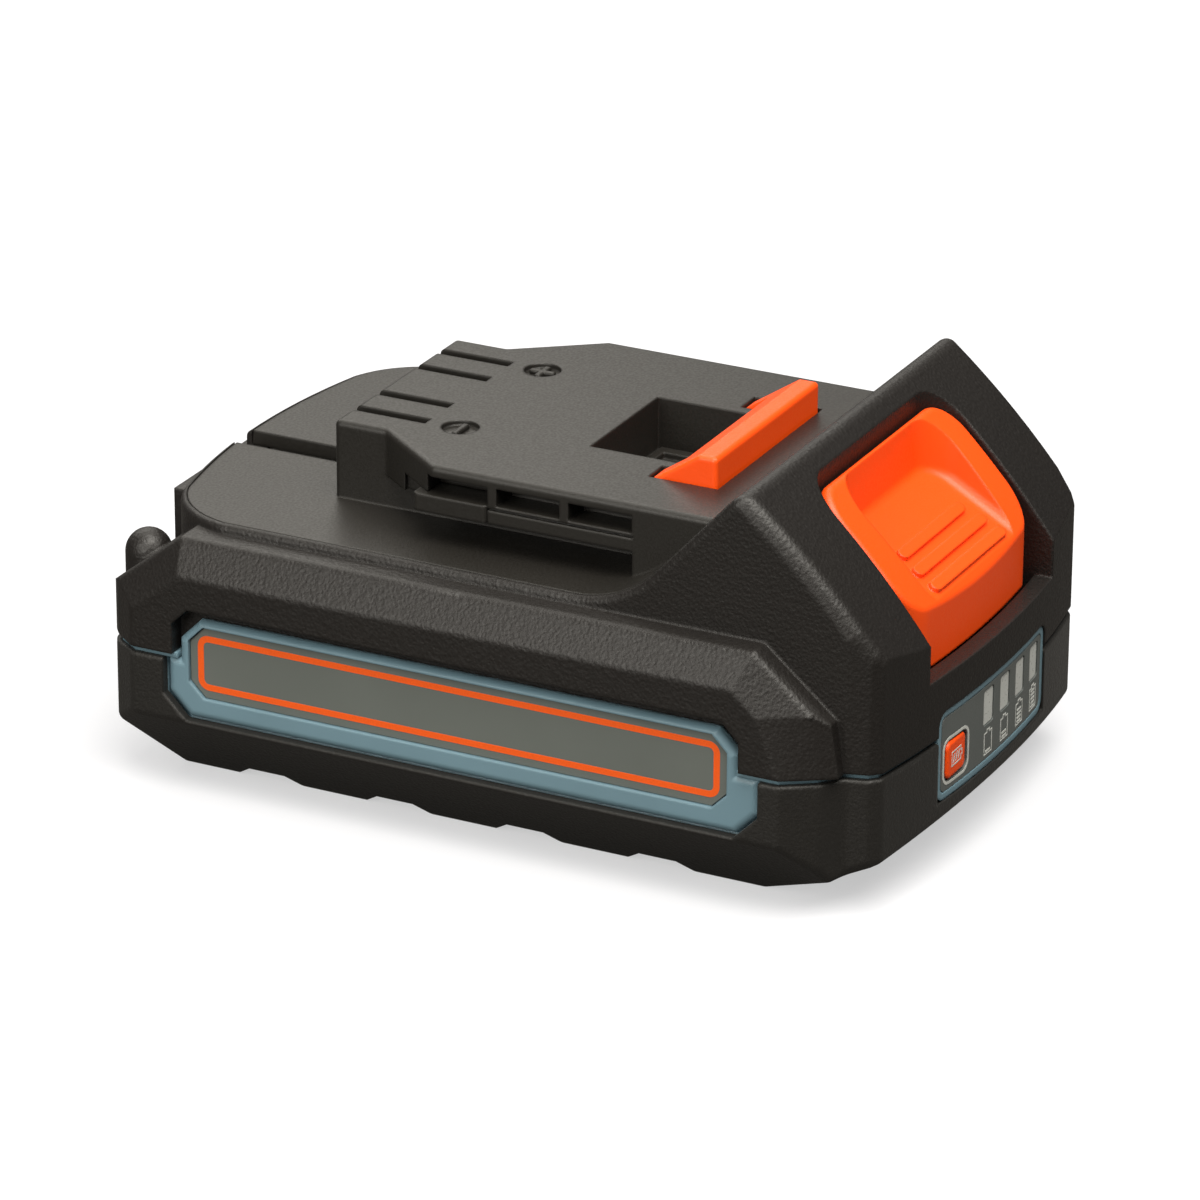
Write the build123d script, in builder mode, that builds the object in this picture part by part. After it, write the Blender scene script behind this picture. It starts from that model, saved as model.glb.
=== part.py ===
from build123d import *

import os
from math import atan2, cos, hypot, radians, sin, tan

# Slide-on battery pack for a cordless tool. Five 18650 cells lie side by side across a two-part
# housing. A T-rail with the terminal block stands on top, a sprung release tile with its lock
# wedge sits at the front, and the charge gauge is in the front face below it.
# Millimetres, +Z up, +Y towards the terminal nose, +X to the right of someone who faces the nose.
# The origin is on the table, under the middle of the pack.

# Cells, which drive the whole pack
cell_radius = 9.1
cell_length = 64.9
cell_pitch = 18.9
cell_count = 5
cell_floor = 6.7

# Room round the cell row, out to the outer faces
end_room = 6.55
front_room = 12.4
nose_room = 8.8

# Heights above the cells and from step to step
split_above_axis = 3.5
deck_room = 11.9
rail_rise = 10.9
ridge_rise = 7.6

# Travel of what moves
release_travel = 4.2
test_travel = 0.5

# Walls, fits and cuts
bumper_skin = 1.3
shell_wall = 1.4
housing_wall = 2.6
deck_skin = 2.2
fit = 0.1
running_fit = 0.4
overrun = 4.0

half_width = cell_length / 2 + end_room
pack_length = (cell_count - 1) * cell_pitch + 2 * cell_radius + front_room + nose_room
front_y = -pack_length / 2
nose_y = pack_length / 2
first_cell_y = front_y + front_room + cell_radius
cell_axis_z = cell_floor + cell_radius
cell_top = cell_axis_z + cell_radius
cell_places = [first_cell_y + i * cell_pitch for i in range(cell_count)]
split_z = cell_axis_z + split_above_axis
deck_z = cell_top + deck_room
rail_z = deck_z + rail_rise
ridge_z = rail_z + ridge_rise
far = 2 * pack_length

os.makedirs("parts", exist_ok=True)


def write(piece, name):
    """Label one finished piece and write it under its own name."""
    piece.part.label = name
    export_step(piece.part, f"parts/{name}.step")


def block(x_from, x_to, y_from, y_to, z_from, z_to, mode=Mode.ADD):
    """Box between two corners, added to or cut from the piece in hand."""
    centre = ((x_from + x_to) / 2, (y_from + y_to) / 2, (z_from + z_to) / 2)
    with Locations(centre):
        Box(abs(x_to - x_from), abs(y_to - y_from), abs(z_to - z_from), mode=mode)


# Plan of the housing at the split
# The front bows between two corner columns; behind each column stands an armoured ear.
front_bow = 2.75
front_in = 2.2
column_in = 3.0
column_bevel_in = 0.9
column_bevel_run = 1.3
column_run = 3.0
ear_in = 3.1
ear_tip_in = 1.6
ear_tip_run = 1.1
ear_tip_back = 9.1
ear_side_back = 13.6
nose_side_back = 6.7
nose_corner_in = 2.3
nose_corner_back = 3.2
nose_face_in = 4.2
nose_face_back = 2.1
nose_bow = 0.6

ear_half = half_width - ear_in
column_half = ear_half - column_in
front_half = column_half - front_in
front_corner_y = front_y + front_bow
column_front_y = front_corner_y + column_bevel_run
valley_y = column_front_y + column_run
ear_tip_y = front_y + ear_tip_back
ear_side_y = front_y + ear_side_back
nose_side_y = nose_y - nose_side_back
nose_corner_y = nose_y - nose_corner_back
nose_face_y = nose_y - nose_face_back
nose_face_half = half_width - nose_face_in

right_side = [
    (front_half, front_corner_y),
    (column_half - column_bevel_in, column_front_y),
    (column_half, valley_y),
    (ear_half - ear_tip_in, ear_tip_y - ear_tip_run),
    (ear_half, ear_tip_y),
    (half_width, ear_side_y),
    (half_width, nose_side_y),
    (half_width - nose_corner_in, nose_corner_y),
    (nose_face_half, nose_face_y),
]
left_side = [(-x, y) for x, y in reversed(right_side)]

with BuildSketch() as split_outline:
    with BuildLine():
        Polyline(*right_side)
        ThreePointArc(right_side[-1], (0, nose_face_y + nose_bow), left_side[0])
        Polyline(*left_side)
        ThreePointArc(left_side[-1], (0, front_y), right_side[0])
    make_face()

# Lower half: sides, front and nose turn in towards the feet
side_turn_z = 10.2
foot_side_in = 8.6
front_turn_z = 8.0
front_foot_back = 19.0
nose_turn_z = 9.5
nose_foot_back = 9.4

foot_outer_half = half_width - foot_side_in
side_lean = foot_side_in / side_turn_z
lower_section = [
    (foot_outer_half, 0),
    (half_width, side_turn_z),
    (half_width, far),
    (-half_width, far),
    (-half_width, side_turn_z),
    (-foot_outer_half, 0),
]
lower_profile = [
    (front_y + front_foot_back, 0),
    (nose_y - nose_foot_back, 0),
    (nose_face_y + nose_bow, nose_turn_z),
    (nose_face_y + nose_bow, far),
    (front_y, far),
    (front_y, front_turn_z),
]


def lower_form(inset, floor, top):
    """The lower half's outer form drawn in by inset, between two heights."""
    with BuildPart() as form:
        with BuildSketch(Plane.XY.offset(floor)):
            add(split_outline.sketch)
            if inset:
                offset(amount=-inset, kind=Kind.INTERSECTION)
        extrude(amount=top - floor)
        for plane, points in ((Plane.XZ, lower_section), (Plane.YZ, lower_profile)):
            with BuildSketch(plane):
                Polygon(*points)
                if inset:
                    offset(amount=-inset, kind=Kind.INTERSECTION)
            extrude(amount=far, both=True, mode=Mode.INTERSECT)
    return form.part


# Bumper: soft black skin with tread feet; the notches between the feet have ramped ends
split_gap = 0.8
rim_inset = 0.8
foot_rise = 1.8
foot_length = 8.8
foot_pitch = 19.35
foot_count = 5
first_foot_back = 24.2
foot_inner_half = 23.5
notch_ramp = 2.6
bumper_soft = 1.6
bumper_top_soft = 0.5
window_soft = 0.3
tongue_front_back = 16.5
tongue_nose_back = 11.5
tongue_foot_z = 10.4
tongue_corner = 3.4
tongue_in = 1.0
gauge_half = 17.3
gauge_foot_z = 10.1
gauge_above_split = 3.65
gauge_corner = 2.0
gauge_inset = 0.25
boss_half = 28.5
front_boss_back = 8.6
nose_boss_back = 5.5
bumper_bore_radius = 2.5

bumper_top = split_z - split_gap / 2
bumper_floor = foot_rise + bumper_skin
tongue_front_y = front_y + tongue_front_back
tongue_nose_y = nose_y - tongue_nose_back
tongue_half = half_width - tongue_in
gauge_top_z = split_z + gauge_above_split
first_foot_y = front_y + first_foot_back
foot_places = [first_foot_y + i * foot_pitch for i in range(foot_count)]
foot_row_end = foot_places[-1] + foot_length / 2
boss_places = [
    (side * boss_half, y)
    for side in (-1, 1)
    for y in (front_y + front_boss_back, nose_y - nose_boss_back)
]


def cut_corner_plate(front, nose, foot, top, foot_cut, top_cut):
    """Side view of a tongue, its window or its label: a long plate with its corners cut off."""
    return [
        (front, foot + foot_cut),
        (front + foot_cut, foot),
        (nose - foot_cut, foot),
        (nose, foot + foot_cut),
        (nose, top - top_cut),
        (nose - top_cut, top),
        (front + top_cut, top),
        (front, top - top_cut),
    ]


tongue_window = cut_corner_plate(
    tongue_front_y, tongue_nose_y, tongue_foot_z, far, tongue_corner, tongue_corner
)

with BuildPart() as lower_bumper:
    add(lower_form(0, 0, bumper_top))
    below_top = lower_bumper.edges().filter_by(lambda edge: edge.center().Z < bumper_top - fit)
    fillet(below_top, bumper_soft)
    fillet(lower_bumper.faces().sort_by(Axis.Z)[-1].edges(), bumper_top_soft)
    add(lower_form(bumper_skin, bumper_floor, far), mode=Mode.SUBTRACT)
    # Underside between the two rows of feet, and the notches between foot and foot
    block(
        -foot_inner_half,
        foot_inner_half,
        first_foot_y - foot_length / 2,
        foot_row_end,
        0,
        foot_rise,
        mode=Mode.SUBTRACT,
    )
    for foot_y in foot_places[:-1]:
        notch_from = foot_y + foot_length / 2
        notch_to = foot_y + foot_pitch - foot_length / 2
        with BuildSketch(Plane.YZ):
            Polygon(
                (notch_from, 0),
                (notch_from + notch_ramp, foot_rise),
                (notch_to - notch_ramp, foot_rise),
                (notch_to, 0),
            )
        extrude(amount=far, both=True, mode=Mode.SUBTRACT)
    # Windows for the label frames and the gauge frame of the tray inside
    with BuildSketch(Plane.YZ):
        Polygon(*tongue_window)
    extrude(amount=far, both=True, mode=Mode.SUBTRACT)
    window_rim = lower_bumper.edges().filter_by(
        lambda edge: abs(edge.center().X) > half_width - fit
        and tongue_foot_z - fit < edge.center().Z < bumper_top - fit
        and tongue_front_y - fit < edge.center().Y < tongue_nose_y + fit
    )
    fillet(window_rim, window_soft)
    block(-gauge_half, gauge_half, 2 * front_y, 0, gauge_foot_z, far, mode=Mode.SUBTRACT)
    # Bores for the housing screws
    with BuildSketch():
        with Locations(*boss_places):
            Circle(bumper_bore_radius)
    extrude(amount=split_z, mode=Mode.SUBTRACT)
write(lower_bumper, "lower_bumper")

# Tray: blue-grey lower shell inside the bumper, with the rim that shows at the split, the raised
# label tongues on both sides and the gauge frame in front
tongue_bead = 1.2
tongue_above_split = 5.3
tongue_tip_cut = 3.0
tongue_front_step = 3.2
tongue_nose_step = 1.9
label_margin = 1.5
label_foot = 3.2
label_depth = 1.0
label_corner = 2.2
lip_rise = 1.6
lip_wall = 1.0
gauge_wall = 2.0
overlay_margin = 1.1
overlay_depth = 0.5
boss_radius = 2.9
screw_radius = 1.25
screw_seat_z = 9.5
screw_head_radius = 1.9
screw_head_height = 1.5
counterbore_radius = 2.1
gauge_board_back = 4.7
gauge_board_thickness = 1.2
gauge_board_half = 16.5
gauge_board_foot = 10.6
gauge_board_top = 21.9
slot_post_half = 18.2
slot_post_lap = 0.8
slot_post_run = 2.2
slot_post_drop = 0.7
rib_thickness = 1.5
cradle_in = 8.0
cradle_length = 9.0
carrier_under = 1.2
window_first_x = -2.6
window_pitch = 5.3
window_count = 4
window_width = 3.2
window_height = 5.1
window_drop = 0.65
window_corner = 0.5
key_x = -12.1
key_drop = 4.0
key_width = 6.2
key_height = 5.6
key_corner = 1.2
key_fit = 0.25

rim_top = split_z + split_gap / 2
lip_root_z = bumper_top - lip_rise
shell_floor = bumper_floor + shell_wall
shell_inset = bumper_skin + shell_wall
shell_half = half_width - shell_inset
lip_inset = housing_wall + fit
window_places = [window_first_x + i * window_pitch for i in range(window_count)]
window_mid_z = split_z - window_drop
window_foot_z = window_mid_z - window_height / 2
window_top_z = window_mid_z + window_height / 2
key_z = split_z - key_drop
tongue_back_half = shell_half
tongue_rise_z = split_z + tongue_above_split
tongue_upper_front_y = tongue_front_y + tongue_front_step
tongue_upper_nose_y = tongue_nose_y - tongue_nose_step
slot_post_top = split_z - slot_post_drop
gauge_back = gauge_inset + gauge_wall
cradle_half = cell_length / 2 - cradle_in
carrier_foot_z = cell_floor - carrier_under
gauge_board_y = front_y + gauge_board_back
front_radius = (front_half**2 + front_bow**2) / (2 * front_bow)


def bow_band(depth_from, depth_to, half, z_from, z_to, corner):
    """Curved plate parallel to the bowed front face, between two depths behind it."""
    with BuildPart() as band:
        with BuildSketch(Plane.XY.offset(z_from)):
            with Locations((0, front_y + front_radius)):
                Circle(front_radius - depth_from)
                Circle(front_radius - depth_to, mode=Mode.SUBTRACT)
            with Locations((0, front_y)):
                Rectangle(2 * half, 2 * (front_bow + depth_to), mode=Mode.INTERSECT)
        extrude(amount=z_to - z_from)
        with BuildSketch(Plane.XZ):
            with Locations((0, (z_from + z_to) / 2)):
                RectangleRounded(2 * half, z_to - z_from, corner)
        extrude(amount=far, both=True, mode=Mode.INTERSECT)
    return band.part


overlay_foot_z = gauge_foot_z + overlay_margin
overlay_top_z = gauge_top_z - overlay_margin
overlay_half = gauge_half - overlay_margin
overlay_back = gauge_inset + overlay_depth
label_front_y = tongue_upper_front_y + label_margin
label_nose_y = tongue_upper_nose_y - label_margin
label_foot_z = tongue_foot_z + label_foot
label_top_z = tongue_rise_z - label_margin / 2
label_plate = cut_corner_plate(
    label_front_y, label_nose_y, label_foot_z, label_top_z, label_corner, label_corner
)

with BuildPart() as tongue:
    # A low wide foot in the bumper's window and an upper part inside the cover's recess, with a
    # rounded bead all round and the seat for the label
    with BuildSketch(Plane.YZ.offset(tongue_back_half)):
        Polygon(
            (tongue_front_y + fit, tongue_foot_z + tongue_corner),
            (tongue_front_y + tongue_corner, tongue_foot_z + fit),
            (tongue_nose_y - tongue_corner, tongue_foot_z + fit),
            (tongue_nose_y - fit, tongue_foot_z + tongue_corner),
            (tongue_nose_y - fit, bumper_top),
            (tongue_upper_nose_y, bumper_top),
            (tongue_upper_nose_y, tongue_rise_z - tongue_tip_cut),
            (tongue_upper_nose_y - tongue_tip_cut, tongue_rise_z),
            (tongue_upper_front_y + tongue_tip_cut, tongue_rise_z),
            (tongue_upper_front_y, tongue_rise_z - tongue_tip_cut),
            (tongue_upper_front_y, bumper_top),
            (tongue_front_y + fit, bumper_top),
        )
    extrude(amount=tongue_half - tongue_back_half)
    fillet(tongue.faces().sort_by(Axis.X)[-1].edges(), tongue_bead)
    with BuildSketch(Plane.YZ.offset(tongue_half - label_depth)):
        Polygon(*label_plate)
    extrude(amount=label_depth, mode=Mode.SUBTRACT)

with BuildPart() as lower_shell:
    add(lower_form(bumper_skin + fit, bumper_floor + fit, bumper_top - fit))
    add(lower_form(rim_inset, bumper_top, rim_top))
    add(lower_form(lip_inset, lip_root_z, rim_top + lip_rise))
    # Tongues on both sides, in place of the wall and the rim there
    for side in (1, -1):
        for front, nose, foot, top in (
            (tongue_front_y, tongue_nose_y, tongue_foot_z, bumper_top),
            (tongue_upper_front_y, tongue_upper_nose_y, bumper_top, far),
        ):
            block(
                side * (tongue_half - tongue_bead), side * far, front, nose, foot, top, Mode.SUBTRACT
            )
    add(tongue.part)
    mirror(tongue.part, about=Plane.YZ)
    # Gauge frame, curved like the front
    frame_half = gauge_half - fit
    frame_foot_z = gauge_foot_z + fit
    add(bow_band(gauge_inset, gauge_back, frame_half, frame_foot_z, gauge_top_z, gauge_corner))
    # Hollow inside
    add(lower_form(shell_inset, shell_floor, lip_root_z), mode=Mode.SUBTRACT)
    add(lower_form(lip_inset + lip_wall, lip_root_z, far), mode=Mode.SUBTRACT)
    for side in (1, -1):
        block(
            side * (half_width - 2 * lip_inset),
            side * tongue_back_half,
            -far,
            far,
            rim_top,
            far,
            mode=Mode.SUBTRACT,
        )
    add(
        bow_band(lip_inset, lip_inset + 2 * lip_wall, gauge_half, lip_root_z, split_z + far, fit),
        mode=Mode.SUBTRACT,
    )
    # Seat for the gauge membrane
    add(
        bow_band(0, overlay_back, overlay_half, overlay_foot_z, overlay_top_z, gauge_corner / 2),
        mode=Mode.SUBTRACT,
    )
    # Window openings and the hole for the key of the gauge
    with BuildSketch(Plane.XZ.offset(-front_y - front_bow - gauge_back)):
        for window_x in window_places:
            with Locations((window_x, window_mid_z)):
                RectangleRounded(window_width, window_top_z - window_foot_z, window_corner)
        with Locations((key_x, key_z)):
            RectangleRounded(key_width, key_height, key_corner)
    extrude(amount=far, mode=Mode.SUBTRACT)
    # Cradles under the cells, and the four posts that the housing screws go through
    for cell_y in cell_places:
        for side in (-1, 1):
            rib_x = side * cradle_half
            block(
                rib_x - rib_thickness / 2,
                rib_x + rib_thickness / 2,
                cell_y - cradle_length / 2,
                cell_y + cradle_length / 2,
                shell_floor,
                carrier_foot_z,
            )
    with BuildPart(mode=Mode.PRIVATE) as posts:
        with BuildSketch():
            with Locations(*boss_places):
                Circle(boss_radius)
        extrude(amount=split_z)
        for side in (-1, 1):
            block(
                side * (gauge_board_half - slot_post_lap),
                side * slot_post_half,
                gauge_board_y - slot_post_run,
                gauge_board_y + gauge_board_thickness + slot_post_run,
                0,
                slot_post_top,
            )
        add(lower_form(bumper_skin + fit, bumper_floor + fit, split_z), mode=Mode.INTERSECT)
    with BuildSketch(Plane.XY.offset(split_z)):
        with Locations(*boss_places):
            Circle(boss_radius + fit)
    extrude(amount=far, mode=Mode.SUBTRACT)
    add(posts.part)
    block(
        -gauge_board_half - fit,
        gauge_board_half + fit,
        gauge_board_y - fit,
        gauge_board_y + gauge_board_thickness + fit,
        gauge_board_foot - fit,
        far,
        mode=Mode.SUBTRACT,
    )
    with BuildSketch():
        with Locations(*boss_places):
            Circle(screw_radius + fit)
    extrude(amount=far, mode=Mode.SUBTRACT)
    with BuildSketch():
        with Locations(*boss_places):
            Circle(counterbore_radius)
    extrude(amount=screw_seat_z, mode=Mode.SUBTRACT)
write(lower_shell, "lower_shell")

# Cover: textured black upper housing. Its side has a bevelled shoulder that falls away at both
# ends; the bezel tower rises from it and carries the deck.
shoulder_rise = 16.2
shoulder_in = 2.8
facet_rise = 11.7
core_in = 4.2
slope_front_back = 18.5
slope_nose_back = 13.1
front_fall = 7.3
nose_fall = 7.9
core_fall = 8.6
facet_front_back = 20.5
facet_front_fall = 3.3
facet_front_end_back = 16.7
facet_nose_back = 13.9
facet_nose_fall = 5.6
ear_lean = 1.2
ridge_back = 22.3
ramp_back = 39.1
ramp_radius = 16.0
slant_bulge = 1.15
knee_rise = 12.5
deck_rim = 0.8
deck_ledge = 2.4
seam_behind_ridge = 1.6
deck_nose_back = 3.3
deck_side_back = 17.2
deck_corner_half = 30.2
deck_corner_back = 10.9
deck_tip_half = 23.4
deck_tip_back = 6.0
lug_half = 17.5
lug_back = 1.2
lug_rise = 14.2
knuckle_half = 27.8
knuckle_radius = 3.2
bezel_soft = 2.2
deck_soft = 1.1
shoulder_soft = 1.4
crosswise = 0.3
recess_wall = 1.9
recess_gap = 0.5
recess_rise = 7.1
recess_corner = 2.4
cavity_half = 20.0
cavity_back = 19.3
cavity_corner = 4.9
sill_rise = 8.8
lobe_wall = 2.2
hollow_side_turn = 3.6
hollow_under = 2.5
link_half = 12.0
link_above_deck = 4.2
tub_front_rise = 4.2
tub_over_cells = 2.2
tub_skin = 1.2
tub_step_back = 10.7
tub_back = 30.0
post_height = 8.0
groove_x = -3.8
groove_width = 5.0
groove_depth = 3.0

shoulder_z = split_z + shoulder_rise
shoulder_half = half_width - shoulder_in
facet_z = split_z + facet_rise
core_half = half_width - core_in
slope_front_y = front_y + slope_front_back
slope_nose_y = nose_y - slope_nose_back
facet_front_y = front_y + facet_front_back
facet_front_end_y = front_y + facet_front_end_back
facet_nose_y = nose_y - facet_nose_back
knee_z = split_z + knee_rise
lug_top_z = split_z + lug_rise
recess_top_z = split_z + recess_rise
cavity_back_y = front_y + cavity_back
sill_z = split_z + sill_rise
link_top_z = deck_z + link_above_deck
tub_front_floor_z = split_z + tub_front_rise
tub_back_floor_z = cell_top + tub_over_cells
tub_step_y = front_y + tub_step_back
tub_back_y = front_y + tub_back
ridge_y = front_y + ridge_back
ramp_y = front_y + ramp_back
slant_mid = ((front_y + ridge_y) / 2, (knee_z + ridge_z) / 2)
slant_angle = atan2(ridge_z - knee_z, ridge_y - front_y)
slant_middle = (
    slant_mid[0] - slant_bulge * sin(slant_angle),
    slant_mid[1] + slant_bulge * cos(slant_angle),
)
ramp_angle = atan2(ridge_z - deck_z, ramp_y - ridge_y)
cover_foot = rim_top
seam_y = ridge_y + seam_behind_ridge
recess_half = tongue_back_half - fit
hollow_half = recess_half - recess_wall
hollow_top = shoulder_z - hollow_under
gauge_sag = gauge_half**2 / (2 * front_radius)


def shoulder_section(front, front_top, slope_front, slope_nose, nose, front_z, top_z, nose_z):
    """Side view of the shoulder at one distance from the middle."""
    return [
        (front, cover_foot),
        (front_top, front_z),
        (slope_front, top_z),
        (slope_nose, top_z),
        (nose, nose_z),
        (nose, cover_foot),
    ]


shoulder_core = shoulder_section(
    valley_y,
    valley_y + ear_lean,
    slope_front_y,
    slope_nose_y,
    nose_face_y,
    shoulder_z - core_fall,
    shoulder_z,
    shoulder_z - core_fall,
)
shoulder_edge = shoulder_section(
    ear_tip_y,
    ear_tip_y + ear_lean,
    slope_front_y,
    slope_nose_y,
    nose_corner_y,
    shoulder_z - front_fall,
    shoulder_z,
    shoulder_z - nose_fall,
)
shoulder_side = shoulder_section(
    ear_side_y,
    facet_front_end_y,
    facet_front_y,
    facet_nose_y,
    nose_side_y,
    facet_z - facet_front_fall,
    facet_z,
    facet_z - facet_nose_fall,
)

with BuildSketch() as tower_outline:
    with BuildLine():
        Polyline(
            (front_half, front_corner_y),
            (column_half - column_bevel_in, column_front_y),
            (column_half, valley_y),
            (column_half, nose_y - deck_side_back),
        )
        ThreePointArc(
            (column_half, nose_y - deck_side_back),
            (deck_corner_half, nose_y - deck_corner_back),
            (deck_tip_half, nose_y - deck_tip_back),
        )
        ThreePointArc(
            (deck_tip_half, nose_y - deck_tip_back),
            (0, nose_y - deck_nose_back),
            (-deck_tip_half, nose_y - deck_tip_back),
        )
        ThreePointArc(
            (-deck_tip_half, nose_y - deck_tip_back),
            (-deck_corner_half, nose_y - deck_corner_back),
            (-column_half, nose_y - deck_side_back),
        )
        Polyline(
            (-column_half, nose_y - deck_side_back),
            (-column_half, valley_y),
            (-column_half + column_bevel_in, column_front_y),
            (-front_half, front_corner_y),
        )
        ThreePointArc((-front_half, front_corner_y), (0, front_y), (front_half, front_corner_y))
    make_face()


def tower_profile(drop, foot):
    """Area under the tower's top line: slanted bezel, ridge, ramp and deck, lowered by drop."""
    ramp_drop = drop / cos(ramp_angle)
    ramp_foot = ramp_y - (ramp_drop - drop) / tan(ramp_angle)
    arc_run = (ramp_radius + drop) * tan(ramp_angle / 2)
    arc_top = (ramp_foot - arc_run * cos(ramp_angle), deck_z - drop + arc_run * sin(ramp_angle))
    arc_foot = (ramp_foot + arc_run, deck_z - drop)
    with BuildSketch(Plane.YZ) as profile:
        with BuildLine():
            Line((front_y, foot), (front_y, knee_z - drop))
            ThreePointArc(
                (front_y, knee_z - drop),
                (slant_middle[0], slant_middle[1] - ramp_drop),
                (ridge_y, ridge_z - ramp_drop),
            )
            Line((ridge_y, ridge_z - ramp_drop), arc_top)
            TangentArc(
                arc_top, arc_foot, tangent=(cos(ramp_angle), -sin(ramp_angle))
            )
            Line(arc_foot, (nose_y, deck_z - drop))
            Line((nose_y, deck_z - drop), (nose_y, foot))
            Line((nose_y, foot), (front_y, foot))
        make_face()
    return profile.sketch


def tower_form(inset, drop, foot):
    """The tower: its plan drawn in by inset, under its top line lowered by drop."""
    with BuildPart() as tower:
        with BuildSketch(Plane.XY.offset(foot)):
            add(tower_outline.sketch)
            offset(amount=-inset, kind=Kind.INTERSECTION)
        extrude(amount=ridge_z)
        extrude(tower_profile(drop, foot - overrun), amount=far, both=True, mode=Mode.INTERSECT)
    return tower.part


with BuildSketch() as cavity_outline:
    with BuildLine():
        FilletPolyline(
            (cavity_half, 2 * front_y),
            (cavity_half, cavity_back_y),
            (-cavity_half, cavity_back_y),
            (-cavity_half, 2 * front_y),
            radius=cavity_corner,
        )
        Line((-cavity_half, 2 * front_y), (cavity_half, 2 * front_y))
    make_face()

recess_outline = cut_corner_plate(
    tongue_upper_front_y - recess_gap,
    tongue_upper_nose_y + recess_gap,
    0,
    recess_top_z,
    recess_corner,
    recess_corner,
)
hollow_section = [
    (hollow_half, 0),
    (hollow_half, hollow_top - hollow_side_turn),
    (hollow_half - hollow_side_turn, hollow_top),
    (hollow_side_turn - hollow_half, hollow_top),
    (-hollow_half, hollow_top - hollow_side_turn),
    (-hollow_half, 0),
]
hollow_profile = [
    (front_y, 0),
    (front_y, hollow_top - core_fall),
    (valley_y + ear_lean, hollow_top - core_fall),
    (slope_front_y, hollow_top),
    (slope_nose_y, hollow_top),
    (nose_face_y, hollow_top - core_fall),
    (nose_face_y, 0),
]

with BuildPart() as bezel_lobes:
    # The two hollows beside the release, under the slanted face
    add(tower_form(housing_wall, housing_wall, hollow_top - overrun))
    block(-far, far, seam_y - housing_wall, far, 0, far, mode=Mode.SUBTRACT)
    block(
        -cavity_half - lobe_wall, cavity_half + lobe_wall, -far, far, 0, far, mode=Mode.SUBTRACT
    )

with BuildPart() as deck_pocket:
    # Everything above the underside of the deck plate, inside the deck's rim
    with BuildSketch(Plane.XY.offset(cover_foot)):
        add(tower_outline.sketch)
        offset(amount=-deck_rim, kind=Kind.INTERSECTION)
    extrude(amount=far)
    add(tower_form(fit / 10, deck_skin, cover_foot), mode=Mode.SUBTRACT)
    block(-far, far, -far, seam_y, 0, 2 * far, mode=Mode.SUBTRACT)

with BuildPart() as bezel_tower:
    # The tower with its ridge, slant edges and knee rounded
    add(tower_form(fit / 10, 0, cover_foot))
    slant_edges = bezel_tower.edges().filter_by(
        lambda edge: edge.center().Y < ridge_y and edge.center().Z > hollow_top
    )
    ridge_edge = bezel_tower.edges().sort_by(Axis.Z)[-1]
    fillet([*slant_edges, ridge_edge], bezel_soft)
    deck_edges = bezel_tower.edges().filter_by(Axis.X, reverse=True)
    fillet(
        deck_edges.filter_by(
            lambda edge: edge.center().Y > seam_y and edge.center().Z > deck_z - fit
        ),
        deck_soft,
    )

with BuildPart() as shoulder_hollow:
    # Inside of the shoulder: plan, cross-section and side view of the room for the cells' top
    with BuildSketch():
        add(split_outline.sketch)
        offset(amount=-housing_wall, kind=Kind.INTERSECTION)
    extrude(amount=hollow_top)
    for plane, points in ((Plane.XZ, hollow_section), (Plane.YZ, hollow_profile)):
        with BuildSketch(plane):
            Polygon(*points)
        extrude(amount=far, both=True, mode=Mode.INTERSECT)

with BuildPart() as shoulder:
    # A core and, on each side, two ruled steps out to the bevelled side
    with BuildSketch(Plane.YZ.offset(-core_half)):
        Polygon(*shoulder_core)
    extrude(amount=2 * core_half)
    for side in (1, -1):
        stations = (
            (core_half, shoulder_core),
            (shoulder_half, shoulder_edge),
            (half_width, shoulder_side),
        )
        for (x_in, inner_side), (x_out, outer_side) in zip(stations, stations[1:]):
            for x, points in ((x_in, inner_side), (x_out, outer_side)):
                with BuildSketch(Plane.YZ.offset(side * x)):
                    Polygon(*points)
            loft(ruled=True)
    # Soft edges along the pack and up the corners; the short ones across the ends stay crisp
    shoulder_edges = shoulder.edges().filter_by(
        lambda edge: abs(edge.center().X) > core_half + fit
        and edge.center().Z > cover_foot + fit
        and abs(edge.tangent_at(0.5).X) < crosswise
    )
    fillet(shoulder_edges, shoulder_soft)

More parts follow.
